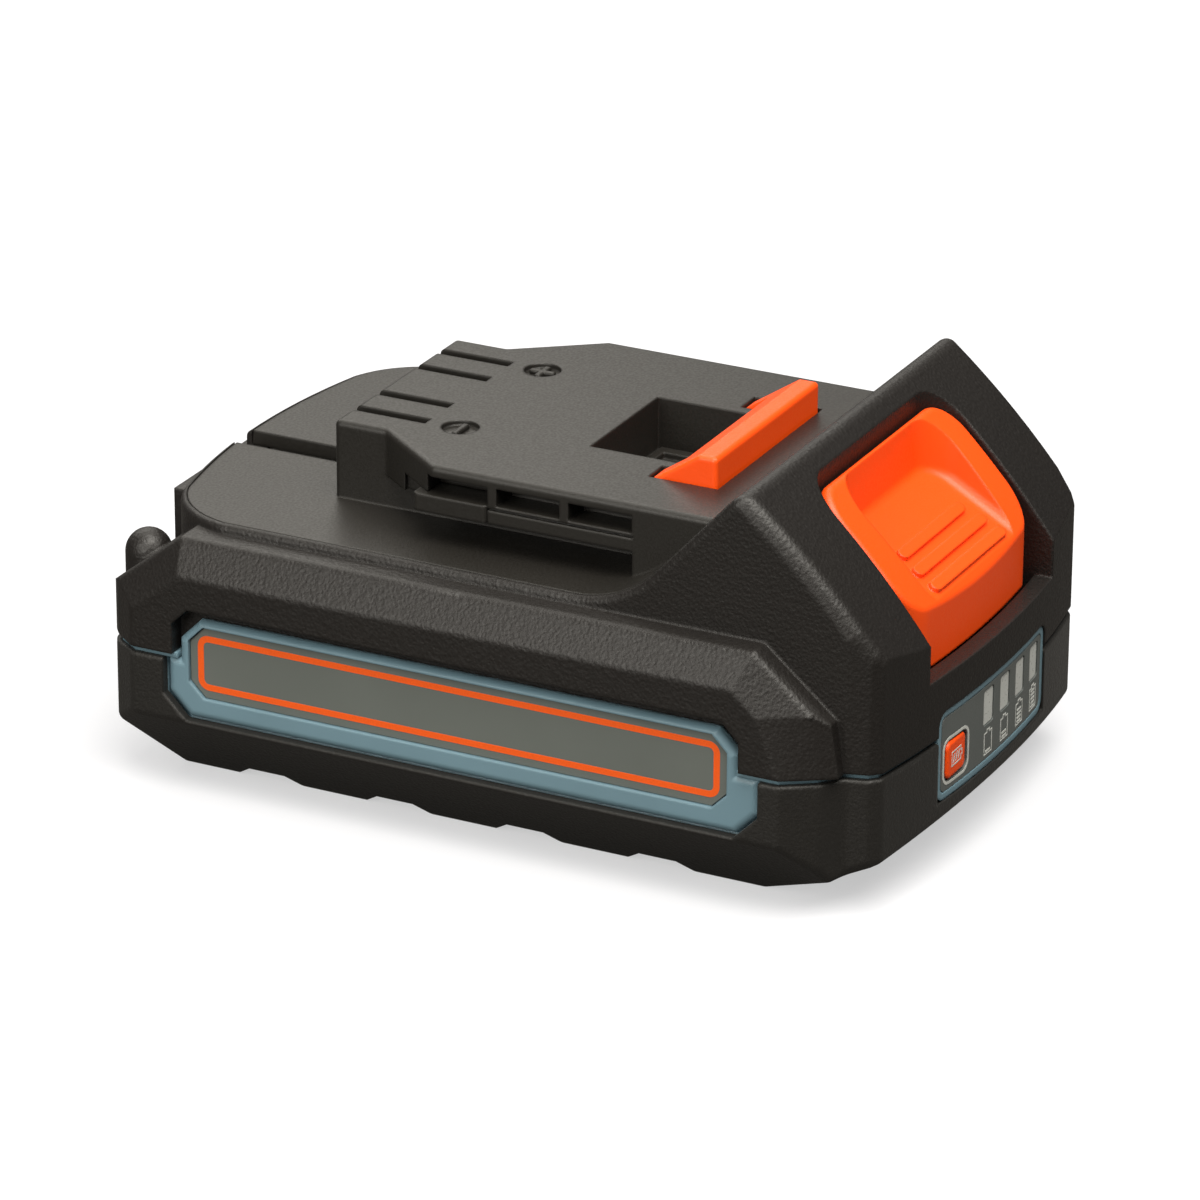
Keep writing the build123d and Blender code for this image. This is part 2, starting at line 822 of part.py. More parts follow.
with BuildPart() as upper_housing:
    add(shoulder.part)
    # Knuckles and the middle lug on the nose
    for side in (1, -1):
        knuckle_place = (side * knuckle_half, nose_y - knuckle_radius)
        with BuildSketch(Plane.XY.offset(cover_foot)):
            with Locations(knuckle_place):
                Circle(knuckle_radius)
        extrude(amount=knee_z - knuckle_radius - cover_foot)
        with Locations((*knuckle_place, knee_z - knuckle_radius)):
            Sphere(knuckle_radius)
    block(-lug_half, lug_half, nose_y - 2 * deck_tip_back, nose_y - lug_back, cover_foot, lug_top_z)
    add(bezel_tower.part)
    add(deck_pocket.part, mode=Mode.SUBTRACT)
    # Opening under the deck, inside the ledge that carries the plate
    with BuildSketch(Plane.XY.offset(hollow_top - overrun)):
        add(tower_outline.sketch)
        offset(amount=-deck_rim - deck_ledge, kind=Kind.INTERSECTION)
        with Locations((0, seam_y - far / 2)):
            Rectangle(far, far, mode=Mode.SUBTRACT)
    extrude(amount=far, mode=Mode.SUBTRACT)
    add(shoulder_hollow.part, mode=Mode.SUBTRACT)
    add(bezel_lobes.part, mode=Mode.SUBTRACT)
    # Well of the release: a stepped tub under it, open to the front above the sill
    block(
        -cavity_half - lobe_wall,
        cavity_half + lobe_wall,
        front_y + housing_wall,
        tub_back_y,
        tub_front_floor_z - tub_skin,
        hollow_top,
    )
    with BuildSketch(Plane.XY.offset(tub_front_floor_z)):
        with Locations((0, front_y + front_radius)):
            Circle(front_radius - housing_wall)
        with Locations((0, (front_y + tub_step_y) / 2)):
            Rectangle(2 * cavity_half, tub_step_y - front_y, mode=Mode.INTERSECT)
    extrude(amount=far, mode=Mode.SUBTRACT)
    block(
        -cavity_half,
        cavity_half,
        tub_step_y - tub_skin,
        tub_back_y,
        tub_back_floor_z,
        hollow_top,
        mode=Mode.SUBTRACT,
    )
    block(
        -cavity_half - lobe_wall,
        cavity_half + lobe_wall,
        tub_step_y + tub_skin,
        tub_back_y,
        tub_front_floor_z - tub_skin,
        tub_back_floor_z - tub_skin,
        mode=Mode.SUBTRACT,
    )
    with BuildSketch(Plane.XY.offset(sill_z)):
        add(cavity_outline.sketch)
    extrude(amount=far, mode=Mode.SUBTRACT)
    block(
        -link_half - running_fit,
        link_half + running_fit,
        cavity_back_y - overrun,
        seam_y + overrun,
        sill_z,
        link_top_z + running_fit,
        mode=Mode.SUBTRACT,
    )
    # Recesses for the label tongues and the notch for the gauge frame
    for side in (1, -1):
        with BuildSketch(Plane.YZ.offset(side * recess_half)):
            Polygon(*recess_outline)
        extrude(amount=side * far, mode=Mode.SUBTRACT)
    with BuildSketch(Plane.XZ.offset(-front_y - gauge_back - gauge_sag - running_fit)):
        with Locations((0, gauge_top_z - far / 2)):
            RectangleRounded(2 * gauge_half, far, gauge_corner)
    extrude(amount=far, mode=Mode.SUBTRACT)
    # Posts that the housing screws bite into
    with BuildSketch(Plane.XY.offset(split_z)):
        with Locations(*boss_places):
            Circle(boss_radius)
    extrude(amount=post_height)
    with BuildSketch(Plane.XY.offset(split_z)):
        with Locations(*boss_places):
            Circle(screw_radius)
    extrude(amount=post_height - housing_wall, mode=Mode.SUBTRACT)
    # Channel in the rim that carries on the groove of the deck
    block(
        groove_x - groove_width / 2,
        groove_x + groove_width / 2,
        slope_nose_y,
        far,
        deck_z - groove_depth,
        far,
        mode=Mode.SUBTRACT,
    )
write(upper_housing, "upper_housing")

# Deck plate: smooth top with the T-rail block. The rail flanges overhang a narrower neck, carry
# three pockets in each side, and end at the stop posts; the terminals plug in from the nose
rail_half = 25.9
rail_neck_half = 17.3
rail_nose_back = 25.8
rail_flare_back = 33.7
rail_full_back = 45.0
rail_stop_back = 74.2
rail_under = 4.4
rail_soft = 0.8
side_pocket_first_back = 44.0
side_pocket_length = 9.2
side_pocket_pitch = 10.45
side_pocket_count = 3
side_pocket_foot = 6.9
side_pocket_height = 2.5
side_pocket_depth = 4.5
lip_line = 0.35
lip_line_depth = 0.5
pad_nose_back = 42.3
pad_length = 10.8
pad_height = 2.4
pad_inner_half = 20.0
pad_proud = 0.2
slot_inner_x = 5.5
slot_outer_x = 11.9
slot_width = 1.9
slot_end_back = 37.1
slot_depth = 8.1
mark_back = 41.9
mark_radius = 2.55
mark_depth = 0.7
bay_half = 15.1
bay_wall = 2.2
lock_half = 10.1
lock_nose_back = 60.2
lock_depth = 7.5
lock_wall = 1.7
lock_rib = 1.1
lock_rib_height = 0.9
lock_cell_count = 3
latch_half = 15.75
latch_back = 33.75
latch_top_length = 2.7
latch_rise = 4.0
latch_arm_length = 3.0
latch_arm_half = 12.2
latch_mouth_back = 40.0
latch_gap = 0.35
latch_soft = 0.6

latch_back_y = front_y + latch_back
latch_mouth_y = front_y + latch_mouth_back
latch_tip_y = latch_mouth_y + latch_arm_length
rail_nose_y = nose_y - rail_nose_back
rail_stop_y = nose_y - rail_stop_back
ramp_meets_rail = ridge_y + (ridge_z - rail_z) / tan(ramp_angle)
lock_nose_y = nose_y - lock_nose_back
slot_places = (-slot_outer_x, -slot_inner_x, slot_inner_x, slot_outer_x)
slot_end_y = nose_y - slot_end_back
top_inside_z = rail_z - bay_wall
groove_box_nose_y = nose_y - deck_nose_back - deck_rim - deck_ledge - running_fit
rail_side = [
    (rail_neck_half, rail_nose_y),
    (rail_neck_half, nose_y - rail_flare_back),
    (rail_half, nose_y - rail_full_back),
    (rail_half, ramp_meets_rail),
]
rail_outline = rail_side + [(-x, y) for x, y in reversed(rail_side)]

with BuildPart() as rail_deck:
    # Rail block, then the undercut that leaves the flanges
    with BuildSketch(Plane.XY.offset(deck_z - deck_skin)):
        Polygon(*rail_outline)
    extrude(amount=rail_z - deck_z + deck_skin)
    block_rim = rail_deck.edges().filter_by(
        lambda edge: edge.center().Z > deck_z and edge.center().Y > ramp_meets_rail + overrun
    )
    fillet(block_rim, rail_soft)
    for side in (1, -1):
        block(
            side * rail_neck_half,
            side * far,
            rail_stop_y,
            far,
            0,
            deck_z + rail_under,
            mode=Mode.SUBTRACT,
        )
    # Plate: deck, ramp and the back of the ridge, with a box under the groove
    with BuildPart(mode=Mode.PRIVATE) as plate:
        with BuildSketch(Plane.XY.offset(cover_foot)):
            add(tower_outline.sketch)
            offset(amount=-deck_rim - fit, kind=Kind.INTERSECTION)
        extrude(amount=far)
        add(bezel_tower.part, mode=Mode.INTERSECT)
        add(tower_form(fit / 10, deck_skin - fit, cover_foot), mode=Mode.SUBTRACT)
        block(-far, far, -far, seam_y + fit, 0, 2 * far, mode=Mode.SUBTRACT)
    add(plate.part)
    block(
        groove_x - groove_width / 2 - deck_skin,
        groove_x + groove_width / 2 + deck_skin,
        rail_nose_y - deck_skin,
        groove_box_nose_y,
        deck_z - groove_depth - deck_skin,
        deck_z - deck_skin,
    )
    block(
        groove_x - groove_width / 2,
        groove_x + groove_width / 2,
        rail_nose_y,
        far,
        deck_z - groove_depth,
        far,
        mode=Mode.SUBTRACT,
    )
    # Bays inside the block: terminals under the nose end, the release under the latch
    block(-bay_half, bay_half, lock_nose_y + lock_wall, rail_nose_y - bay_wall, 0, top_inside_z,
          mode=Mode.SUBTRACT)
    block(
        -latch_half - latch_gap,
        latch_half + latch_gap,
        ramp_meets_rail - fit,
        latch_mouth_y,
        0,
        top_inside_z,
        mode=Mode.SUBTRACT,
    )
    for side in (1, -1):
        block(
            side * (lock_half + lock_wall),
            side * (latch_half + latch_gap),
            latch_mouth_y,
            latch_tip_y + latch_gap,
            0,
            far,
            mode=Mode.SUBTRACT,
        )
    block(
        -latch_half - latch_gap,
        latch_half + latch_gap,
        latch_back_y - latch_gap,
        latch_mouth_y,
        0,
        far,
        mode=Mode.SUBTRACT,
    )
    # Lock pocket with a ribbed floor, hollow below
    block(
        -bay_half,
        bay_half,
        latch_mouth_y + bay_wall,
        lock_nose_y + overrun,
        0,
        rail_z - lock_depth - deck_skin,
        mode=Mode.SUBTRACT,
    )
    block(-lock_half, lock_half, latch_mouth_y, lock_nose_y, rail_z - lock_depth, far,
          mode=Mode.SUBTRACT)
    # Terminal slots, polarity recesses, flange pockets and the line above the lip
    for slot_x in slot_places:
        block(
            slot_x - slot_width / 2,
            slot_x + slot_width / 2,
            slot_end_y,
            far,
            rail_z - slot_depth,
            far,
            mode=Mode.SUBTRACT,
        )
    with BuildSketch(Plane.XY.offset(rail_z)):
        with Locations((-slot_outer_x, nose_y - mark_back), (slot_outer_x, nose_y - mark_back)):
            Circle(mark_radius)
    extrude(amount=-mark_depth, mode=Mode.SUBTRACT)
    for side in (1, -1):
        for i in range(side_pocket_count):
            pocket_nose = nose_y - side_pocket_first_back - i * side_pocket_pitch
            block(
                side * (rail_half - side_pocket_depth),
                side * far,
                pocket_nose - side_pocket_length,
                pocket_nose,
                deck_z + side_pocket_foot,
                deck_z + side_pocket_foot + side_pocket_height,
                mode=Mode.SUBTRACT,
            )
        block(
            side * (rail_half - lip_line_depth),
            side * far,
            rail_stop_y,
            nose_y - pad_nose_back - pad_length,
            deck_z + side_pocket_foot - 2 * lip_line,
            deck_z + side_pocket_foot - lip_line,
            mode=Mode.SUBTRACT,
        )
        block(
            side * pad_inner_half,
            side * far,
            nose_y - pad_nose_back - pad_length - fit,
            nose_y - pad_nose_back + overrun,
            deck_z + rail_under,
            deck_z + rail_under + pad_height + fit,
            mode=Mode.SUBTRACT,
        )
    # Frame and cross ribs that stand on the floor of the lock pocket
    lock_length = lock_nose_y - latch_mouth_y
    lock_floor = rail_z - lock_depth
    with BuildSketch(Plane.XY.offset(lock_floor)):
        with Locations((0, (lock_nose_y + latch_mouth_y) / 2)):
            Rectangle(2 * lock_half - 2 * lock_rib, lock_length - 2 * lock_rib)
            with GridLocations((2 * lock_half - 4 * lock_rib) / lock_cell_count, 0, lock_cell_count, 1):
                Rectangle(
                    (2 * lock_half - 4 * lock_rib) / lock_cell_count - lock_rib,
                    lock_length - 4 * lock_rib,
                    mode=Mode.SUBTRACT,
                )
    extrude(amount=lock_rib_height)
write(rail_deck, "rail_deck")

with BuildPart() as rail_pad_left:
    block(
        -pad_inner_half - fit,
        -rail_half - pad_proud,
        nose_y - pad_nose_back - pad_length,
        nose_y - pad_nose_back,
        deck_z + rail_under,
        deck_z + rail_under + pad_height,
    )
    chamfer(rail_pad_left.edges().filter_by(Axis.Z).sort_by(Axis.X)[:2], 2 * pad_proud)
write(rail_pad_left, "rail_pad_left")

with BuildPart() as rail_pad_right:
    mirror(rail_pad_left.part, about=Plane.YZ)
write(rail_pad_right, "rail_pad_right")

# Release: orange thumb tile in the bezel, one piece in motion with the lock wedge behind it
release_gap = 0.4
tile_recess = 0.25
tile_edge = 1.1
tile_corner = 5.0
tile_back_corner = 4.5
skirt_wall = 2.0
skirt_drop = 0.1
recess_back = 16.1
recess_half_width = 12.9
recess_draft = 5.0
recess_radius = 3.2
recess_floor_radius = 1.4
shelf_back = 10.5
shelf_above_deck = 3.4
shelf_angle = 28.6
shelf_wall = 2.0
rear_foot_rise = 3.5
grip_rib_places = (10.4, 7.7, 5.1)
grip_rib_halves = (9.8, 10.9, 11.3)
grip_rib_width = 1.7
grip_rib_height = 0.6
link_thickness = 2.6
latch_root = 3.6
spigot_radius = 1.2
spigot_height = 2.2
spring_x = 8.8
spring_back = 26.5
spring_radius = 2.2
spring_wire_radius = 0.3
spring_turns = 5.5

recess_back_y = front_y + recess_back
shelf_y = front_y + shelf_back
shelf_height = deck_z + shelf_above_deck
rear_foot_z = sill_z + rear_foot_rise
skirt_back_y = tub_step_y - release_gap
link_z = link_top_z - running_fit - link_thickness
spring_y = front_y + spring_back


def shelf_z(y, below=0):
    """Height of the sloping shelf in the finger recess, or of a line below it."""
    return shelf_height + (y - shelf_y) * tan(radians(shelf_angle)) - below


button_half = cavity_half - release_gap
button_back_y = cavity_back_y - release_gap
button_front_depth = housing_wall + release_gap
skirt_foot_z = sill_z - skirt_drop

with BuildPart() as finger_recess:
    # What the thumb pocket takes out of the tile: drafted walls over a sloping shelf
    with BuildSketch(Plane.XY.offset(rear_foot_z)):
        with Locations((0, recess_back_y - far / 2)):
            RectangleRounded(2 * recess_half_width, far, recess_radius)
    extrude(amount=far / 4, taper=-recess_draft)
    with BuildSketch(Plane.YZ):
        Polygon(
            (2 * front_y, shelf_z(2 * front_y)),
            (0, shelf_z(0)),
            (0, 2 * far),
            (2 * front_y, 2 * far),
        )
    extrude(amount=far, both=True, mode=Mode.INTERSECT)
    shelf_edges = finger_recess.faces().sort_by_distance((0, shelf_y, shelf_height))[0].edges()
    fillet(shelf_edges.filter_by(lambda edge: edge.center().Y > front_y), recess_floor_radius)

with BuildPart() as release_button:
    with BuildSketch(Plane.XY.offset(skirt_foot_z)) as button_plan:
        with Locations((0, front_y + front_radius)):
            Circle(front_radius - button_front_depth)
        with Locations((0, (2 * front_y + button_back_y) / 2)):
            Rectangle(2 * button_half, button_back_y - 2 * front_y, mode=Mode.INTERSECT)
        fillet(button_plan.vertices().group_by(Axis.Y)[0], tile_corner)
        fillet(button_plan.vertices().group_by(Axis.Y)[-1], tile_back_corner)
    extrude(amount=far)
    extrude(tower_profile(tile_recess, 0), amount=far, both=True, mode=Mode.INTERSECT)
    fillet(release_button.faces().sort_by(Axis.Z)[-1].edges(), tile_edge)
    add(finger_recess.part, mode=Mode.SUBTRACT)
    # Hollow from below, under the shelf and behind the front skirt
    with BuildSketch(Plane.YZ):
        Polygon(
            (front_y + button_front_depth + skirt_wall, 0),
            (
                front_y + button_front_depth + skirt_wall,
                shelf_z(front_y + button_front_depth + skirt_wall, shelf_wall),
            ),
            (recess_back_y, shelf_z(recess_back_y, shelf_wall)),
            (recess_back_y, 0),
        )
    extrude(amount=button_half - skirt_wall, both=True, mode=Mode.SUBTRACT)
    block(-far, far, skirt_back_y, 0, 0, rear_foot_z, mode=Mode.SUBTRACT)
    # Three grip ribs across the shelf
    for rib_back, rib_half in zip(grip_rib_places, grip_rib_halves):
        rib_y = front_y + rib_back
        rib_plane = Plane(
            origin=(0, rib_y, shelf_z(rib_y)),
            x_dir=(1, 0, 0),
            z_dir=(0, -sin(radians(shelf_angle)), cos(radians(shelf_angle))),
        )
        with BuildSketch(rib_plane):
            SlotOverall(2 * rib_half, grip_rib_width)
        extrude(amount=grip_rib_height)
write(release_button, "release_button")

with BuildPart() as latch:
    # Wedge with two arms over the lock pocket
    with BuildSketch(Plane.YZ):
        Polygon(
            (latch_back_y, top_inside_z - latch_root + bay_wall),
            (latch_back_y, rail_z + latch_rise),
            (latch_back_y + latch_top_length, rail_z + latch_rise),
            (latch_tip_y, rail_z - latch_gap),
            (latch_tip_y, top_inside_z - latch_root + bay_wall),
        )
    extrude(amount=latch_half, both=True)
    fillet(latch.edges().filter_by(lambda edge: edge.center().Z > rail_z), latch_soft)
    block(
        -latch_arm_half,
        latch_arm_half,
        latch_mouth_y - latch_gap,
        far,
        0,
        far,
        mode=Mode.SUBTRACT,
    )
    # Stem and the link that reaches forward to the tile
    block(
        -link_half, link_half, latch_back_y, latch_mouth_y - latch_gap - bay_wall, link_z, top_inside_z
    )
    block(
        -link_half,
        link_half,
        button_back_y,
        latch_mouth_y - latch_gap - bay_wall,
        link_z,
        link_z + link_thickness,
    )
    with BuildSketch(Plane.XY.offset(link_z)):
        with Locations((-spring_x, spring_y), (spring_x, spring_y)):
            Circle(spigot_radius)
    extrude(amount=-spigot_height)
write(latch, "latch")

with BuildPart() as button_springs:
    # Two coils between the floor of the well and the link
    for side in (-1, 1):
        with BuildPart(mode=Mode.PRIVATE) as coil:
            with BuildLine():
                Helix(
                    pitch=(link_z - tub_back_floor_z - 2 * spring_wire_radius) / spring_turns,
                    height=link_z - tub_back_floor_z - 2 * spring_wire_radius,
                    radius=spring_radius,
                    center=(side * spring_x, spring_y, tub_back_floor_z + spring_wire_radius),
                )
            with BuildSketch(
                Plane(
                    origin=(
                        side * spring_x + spring_radius,
                        spring_y,
                        tub_back_floor_z + spring_wire_radius,
                    ),
                    z_dir=(0, 1, 0),
                )
            ):
                Circle(spring_wire_radius)
            sweep()
        add(coil.part)
write(button_springs, "button_springs")

# Cells, with their positive ends to alternate sides
cap_height = 0.8
cap_radius = 3.2
cell_edge = 0.6

for cell_number, cell_y in enumerate(cell_places, start=1):
    cap_side = 1 if cell_number % 2 else -1
    with BuildPart() as cell:
        with BuildSketch(Plane.YZ.offset(-cap_side * cell_length / 2)):
            with Locations((cell_y, cell_axis_z)):
                Circle(cell_radius)
        extrude(amount=cap_side * (cell_length - cap_height))
        fillet(cell.edges(), cell_edge)
        with BuildSketch(Plane.YZ.offset(cap_side * (cell_length / 2 - 2 * cap_height))):
            with Locations((cell_y, cell_axis_z)):
                Circle(cap_radius)
        extrude(amount=cap_side * 2 * cap_height)
    write(cell, f"cell_{cell_number}")

# Carriers: a bored frame at each end of the cell row, with posts for the circuit board
carrier_inner_half = 12.0
carrier_clearance = 0.5
carrier_side = 0.25
carrier_over = 0.9
carrier_bevel = 2.2
carrier_window_half = 2.6
board_over_cells = 3.5
board_thickness = 1.6
board_half = 27.0
board_front_back = 39.5
board_nose_back = 11.5
board_corner = 2.0
board_post_side_in = 5.0
board_post_in = 5.0
board_post_radius = 2.4
board_screw_radius = 0.9
board_screw_head_radius = 1.9
board_screw_head_height = 1.2
board_screw_bite = 2.0

board_z = cell_top + board_over_cells
board_top_z = board_z + board_thickness
board_front_y = front_y + board_front_back
board_nose_y = nose_y - board_nose_back
board_post_half = board_half - board_post_side_in
carrier_foot_half = foot_outer_half + side_lean * carrier_foot_z
carrier_outer_half = carrier_foot_half - shell_inset * hypot(1, side_lean) - carrier_clearance
carrier_front_y = cell_places[0] - cell_radius - carrier_side
carrier_nose_y = cell_places[-1] + cell_radius + carrier_side
carrier_top_z = cell_top + carrier_over
board_post_places = [
    (side * board_post_half, y)
    for side in (-1, 1)
    for y in (board_front_y + board_post_in, board_nose_y - board_post_in)
]

for side, side_name in ((-1, "left"), (1, "right")):
    with BuildPart() as cell_carrier:
        with BuildSketch(Plane.YZ.offset(side * carrier_inner_half)):
            Polygon(
                (carrier_front_y, carrier_foot_z + carrier_bevel),
                (carrier_front_y + carrier_bevel, carrier_foot_z),
                (carrier_nose_y - carrier_bevel, carrier_foot_z),
                (carrier_nose_y, carrier_foot_z + carrier_bevel),
                (carrier_nose_y, carrier_top_z),
                (carrier_front_y, carrier_top_z),
            )
            with Locations(*[(cell_y, cell_axis_z) for cell_y in cell_places]):
                Circle(cell_radius + fit, mode=Mode.SUBTRACT)
        extrude(amount=side * (carrier_outer_half - carrier_inner_half))
        for post_place in board_post_places:
            if post_place[0] * side > 0:
                with BuildSketch(Plane.XY.offset(carrier_top_z)):
                    with Locations(post_place):
                        Circle(board_post_radius)
                extrude(amount=board_z - carrier_top_z)
                with BuildSketch(Plane.XY.offset(board_z - board_screw_bite)):
                    with Locations(post_place):
                        Circle(board_screw_radius)
                extrude(amount=board_screw_bite, mode=Mode.SUBTRACT)
    write(cell_carrier, f"cell_carrier_{side_name}")

# Nickel strips that join the cells in series, with a tab from each strip to the board's edge
strip_thickness = 0.2
strip_half_height = 4.4
strip_end = 4.2
tab_width = 3.0
tab_inset = 2.5
tab_lap = 1.6
bar_gap = 0.9

strip_half = cell_length / 2
strip_top_z = cell_axis_z + strip_half_height
bar_z = strip_top_z + bar_gap

for side, side_name, start in ((-1, "left", 0), (1, "right", -1)):
    with BuildPart() as cell_strips:
        for first in range(start, cell_count, 2):
            strip_from = cell_places[max(first, 0)] - strip_end
            strip_to = cell_places[min(first + 1, cell_count - 1)] + strip_end
            tab_y = max((strip_from + strip_to) / 2, board_front_y + tab_inset)
            block(
                side * strip_half,
                side * (strip_half + strip_thickness),
                strip_from,
                strip_to,
                cell_axis_z - strip_half_height,
                strip_top_z,
            )
            block(
                side * strip_half,
                side * (strip_half + strip_thickness),
                min(strip_to, tab_y) - tab_width,
                min(strip_to, tab_y),
                strip_top_z - tab_width,
                bar_z + tab_width,
            )
            block(
                side * strip_half,
                side * (strip_half + strip_thickness),
                min(strip_to, tab_y) - tab_width,
                tab_y + tab_width / 2,
                bar_z,
                bar_z + tab_width,
            )
            block(
                side * strip_half,
                side * (strip_half + strip_thickness),
                tab_y - tab_width / 2,
                tab_y + tab_width / 2,
                bar_z,
                board_top_z + strip_thickness,
            )
            block(
                side * (board_half - tab_lap),
                side * (strip_half + strip_thickness),
                tab_y - tab_width / 2,
                tab_y + tab_width / 2,
                board_top_z,
                board_top_z + strip_thickness,
            )
    write(cell_strips, f"cell_strips_{side_name}")

# Insulating sheets over the strips
sheet_gap = 0.05
sheet_thickness = 0.3
sheet_half_height = 7.9
sheet_corner = 6.0

for side, side_name in ((-1, "left"), (1, "right")):
    with BuildPart() as end_insulator:
        with BuildSketch(Plane.YZ.offset(side * (strip_half + strip_thickness + sheet_gap))):
            with Locations((cell_places[cell_count // 2], cell_axis_z)):
                RectangleRounded(
                    carrier_nose_y - carrier_front_y, 2 * sheet_half_height, sheet_corner
                )
        extrude(amount=side * sheet_thickness)
    write(end_insulator, f"end_insulator_{side_name}")

# Circuit board on the carriers' posts
with BuildPart() as circuit_board:
    with BuildSketch(Plane.XY.offset(board_z)):
        with Locations((0, (board_front_y + board_nose_y) / 2)):
            RectangleRounded(2 * board_half, board_nose_y - board_front_y, board_corner)
        with Locations(*board_post_places):
            Circle(board_screw_radius + fit, mode=Mode.SUBTRACT)
    extrude(amount=board_thickness)
write(circuit_board, "circuit_board")

with BuildPart() as board_screws:
    with BuildSketch(Plane.XY.offset(board_z - board_screw_bite)):
        with Locations(*board_post_places):
            Circle(board_screw_radius)
    extrude(amount=board_screw_bite + board_thickness)
    with BuildSketch(Plane.XY.offset(board_top_z)):
        with Locations(*board_post_places):
            Circle(board_screw_head_radius)
    extrude(amount=board_screw_head_height)
write(board_screws, "board_screws")

# Parts soldered to the board: controller, two power switches, shunt, balancing parts and fuse
component_places = {
    "controller": (0, 4.0, 7.0, 7.0, 1.0),
    "switch_left": (-13.0, -4.0, 6.6, 6.1, 2.3),
    "switch_right": (13.0, -4.0, 6.6, 6.1, 2.3),
    "shunt": (0, -10.5, 6.4, 3.2, 0.8),
    "fuse": (20.0, 6.0, 4.6, 9.0, 1.2),
    "balance_left": (-20.0, 6.0, 3.2, 1.6, 0.6),
    "balance_middle": (-20.0, 12.0, 3.2, 1.6, 0.6),
    "balance_right": (-20.0, 18.0, 3.2, 1.6, 0.6),
    "capacitor": (20.0, 18.0, 3.2, 2.5, 1.4),
}

with BuildPart() as board_components:
    for x, y, size_x, size_y, height in component_places.values():
        block(
            x - size_x / 2,
            x + size_x / 2,
            y - size_y / 2,
            y + size_y / 2,
            board_top_z,
            board_top_z + height,
        )
write(board_components, "board_components")

# Terminal base: a comb of insulating walls that stands on the board inside the rail block
base_half = 14.5
base_back = 42.0
base_room = 0.4
base_cell_width = 3.8
base_cell_back = 36.6
contact_sheet = 0.45
contact_back = 36.1
contact_nose = 30.0
contact_rear_half = 1.35
contact_pinch_half = 0.55
contact_flare_half = 1.25
contact_pinch_share = 0.6
contact_top_room = 1.4
contact_bridge = 3.0

base_nose_y = rail_nose_y - bay_wall - base_room
base_cell_y = nose_y - base_cell_back

with BuildPart() as terminal_base:
    block(-base_half, base_half, nose_y - base_back, base_nose_y, board_top_z, top_inside_z - fit)
    for slot_x in slot_places:
        block(
            slot_x - base_cell_width / 2,
            slot_x + base_cell_width / 2,
            base_cell_y,
            far,
            0,
            far,
            mode=Mode.SUBTRACT,
        )
write(terminal_base, "terminal_base")

contact_y = nose_y - contact_back
contact_nose_y = nose_y - contact_nose
pinch_y = contact_y + contact_pinch_share * (contact_nose_y - contact_y)

contact_names = ("contact_negative", "contact_data", "contact_thermal", "contact_positive")
for slot_x, contact_name in zip(slot_places, contact_names):
    with BuildPart() as contact:
        with BuildSketch(Plane.XY.offset(board_top_z)):
            for side in (-1, 1):
                with BuildLine():
                    Polyline(
                        (slot_x + side * contact_rear_half, contact_y),
                        (slot_x + side * contact_pinch_half, pinch_y),
                        (slot_x + side * contact_flare_half, contact_nose_y),
                    )
                trace(line_width=contact_sheet)
            with Locations((slot_x, contact_y)):
                Rectangle(2 * contact_rear_half + contact_sheet, contact_sheet)
        extrude(amount=top_inside_z - contact_top_room - board_top_z)
        block(
            slot_x - contact_rear_half,
            slot_x + contact_rear_half,
            contact_y,
            contact_nose_y - contact_bridge,
            board_top_z,
            board_top_z + contact_sheet,
        )
    write(contact, contact_name)

# Charge gauge behind the front face: board, lamps, switch, light guide, key and membrane
lamp_width = 2.0
lamp_height = 3.0
lamp_depth = 0.65
switch_size = 3.0
switch_depth = 0.7
guide_fit = 0.1
guide_bar_depth = 0.55
guide_recess = 0.15
key_proud = 0.12
key_pocket_half = 1.9
key_lug = 1.2
key_lug_depth = 0.5
key_soft = 0.4

lamp_y = gauge_board_y - lamp_depth
guide_back_y = lamp_y - sheet_gap
guide_bar_y = guide_back_y - guide_bar_depth
key_sag = key_x**2 / (2 * front_radius)
key_face_y = front_y + key_sag + gauge_inset - key_proud
switch_y = gauge_board_y - switch_depth
key_stop_y = switch_y - test_travel - running_fit
key_back_y = gauge_board_y - test_travel - running_fit

with BuildPart() as gauge_board:
    block(
        -gauge_board_half,
        gauge_board_half,
        gauge_board_y,
        gauge_board_y + gauge_board_thickness,
        gauge_board_foot,
        gauge_board_top,
    )
write(gauge_board, "gauge_board")

with BuildPart() as gauge_lamps:
    for window_x in window_places:
        block(
            window_x - lamp_width / 2,
            window_x + lamp_width / 2,
            lamp_y,
            gauge_board_y,
            window_mid_z - lamp_height / 2,
            window_mid_z + lamp_height / 2,
        )
write(gauge_lamps, "gauge_lamps")

with BuildPart() as test_switch:
    block(
        key_x - switch_size / 2,
        key_x + switch_size / 2,
        switch_y,
        gauge_board_y,
        key_z - switch_size / 2,
        key_z + switch_size / 2,
    )
write(test_switch, "test_switch")

with BuildPart() as light_guide:
    with BuildSketch(Plane.XZ.offset(-guide_back_y)):
        for window_x in window_places:
            with Locations((window_x, window_mid_z)):
                RectangleRounded(
                    window_width - 2 * guide_fit,
                    window_top_z - window_foot_z - 2 * guide_fit,
                    window_corner,
                )
    extrude(amount=far)
    add(
        bow_band(
            gauge_inset + guide_recess, gauge_board_back, gauge_half, gauge_foot_z, gauge_top_z, fit
        ),
        mode=Mode.INTERSECT,
    )
    block(
        window_places[0] - window_width / 2,
        window_places[-1] + window_width / 2,
        guide_bar_y,
        guide_back_y,
        window_mid_z - lamp_height / 2,
        window_mid_z + lamp_height / 2,
    )
write(light_guide, "light_guide")

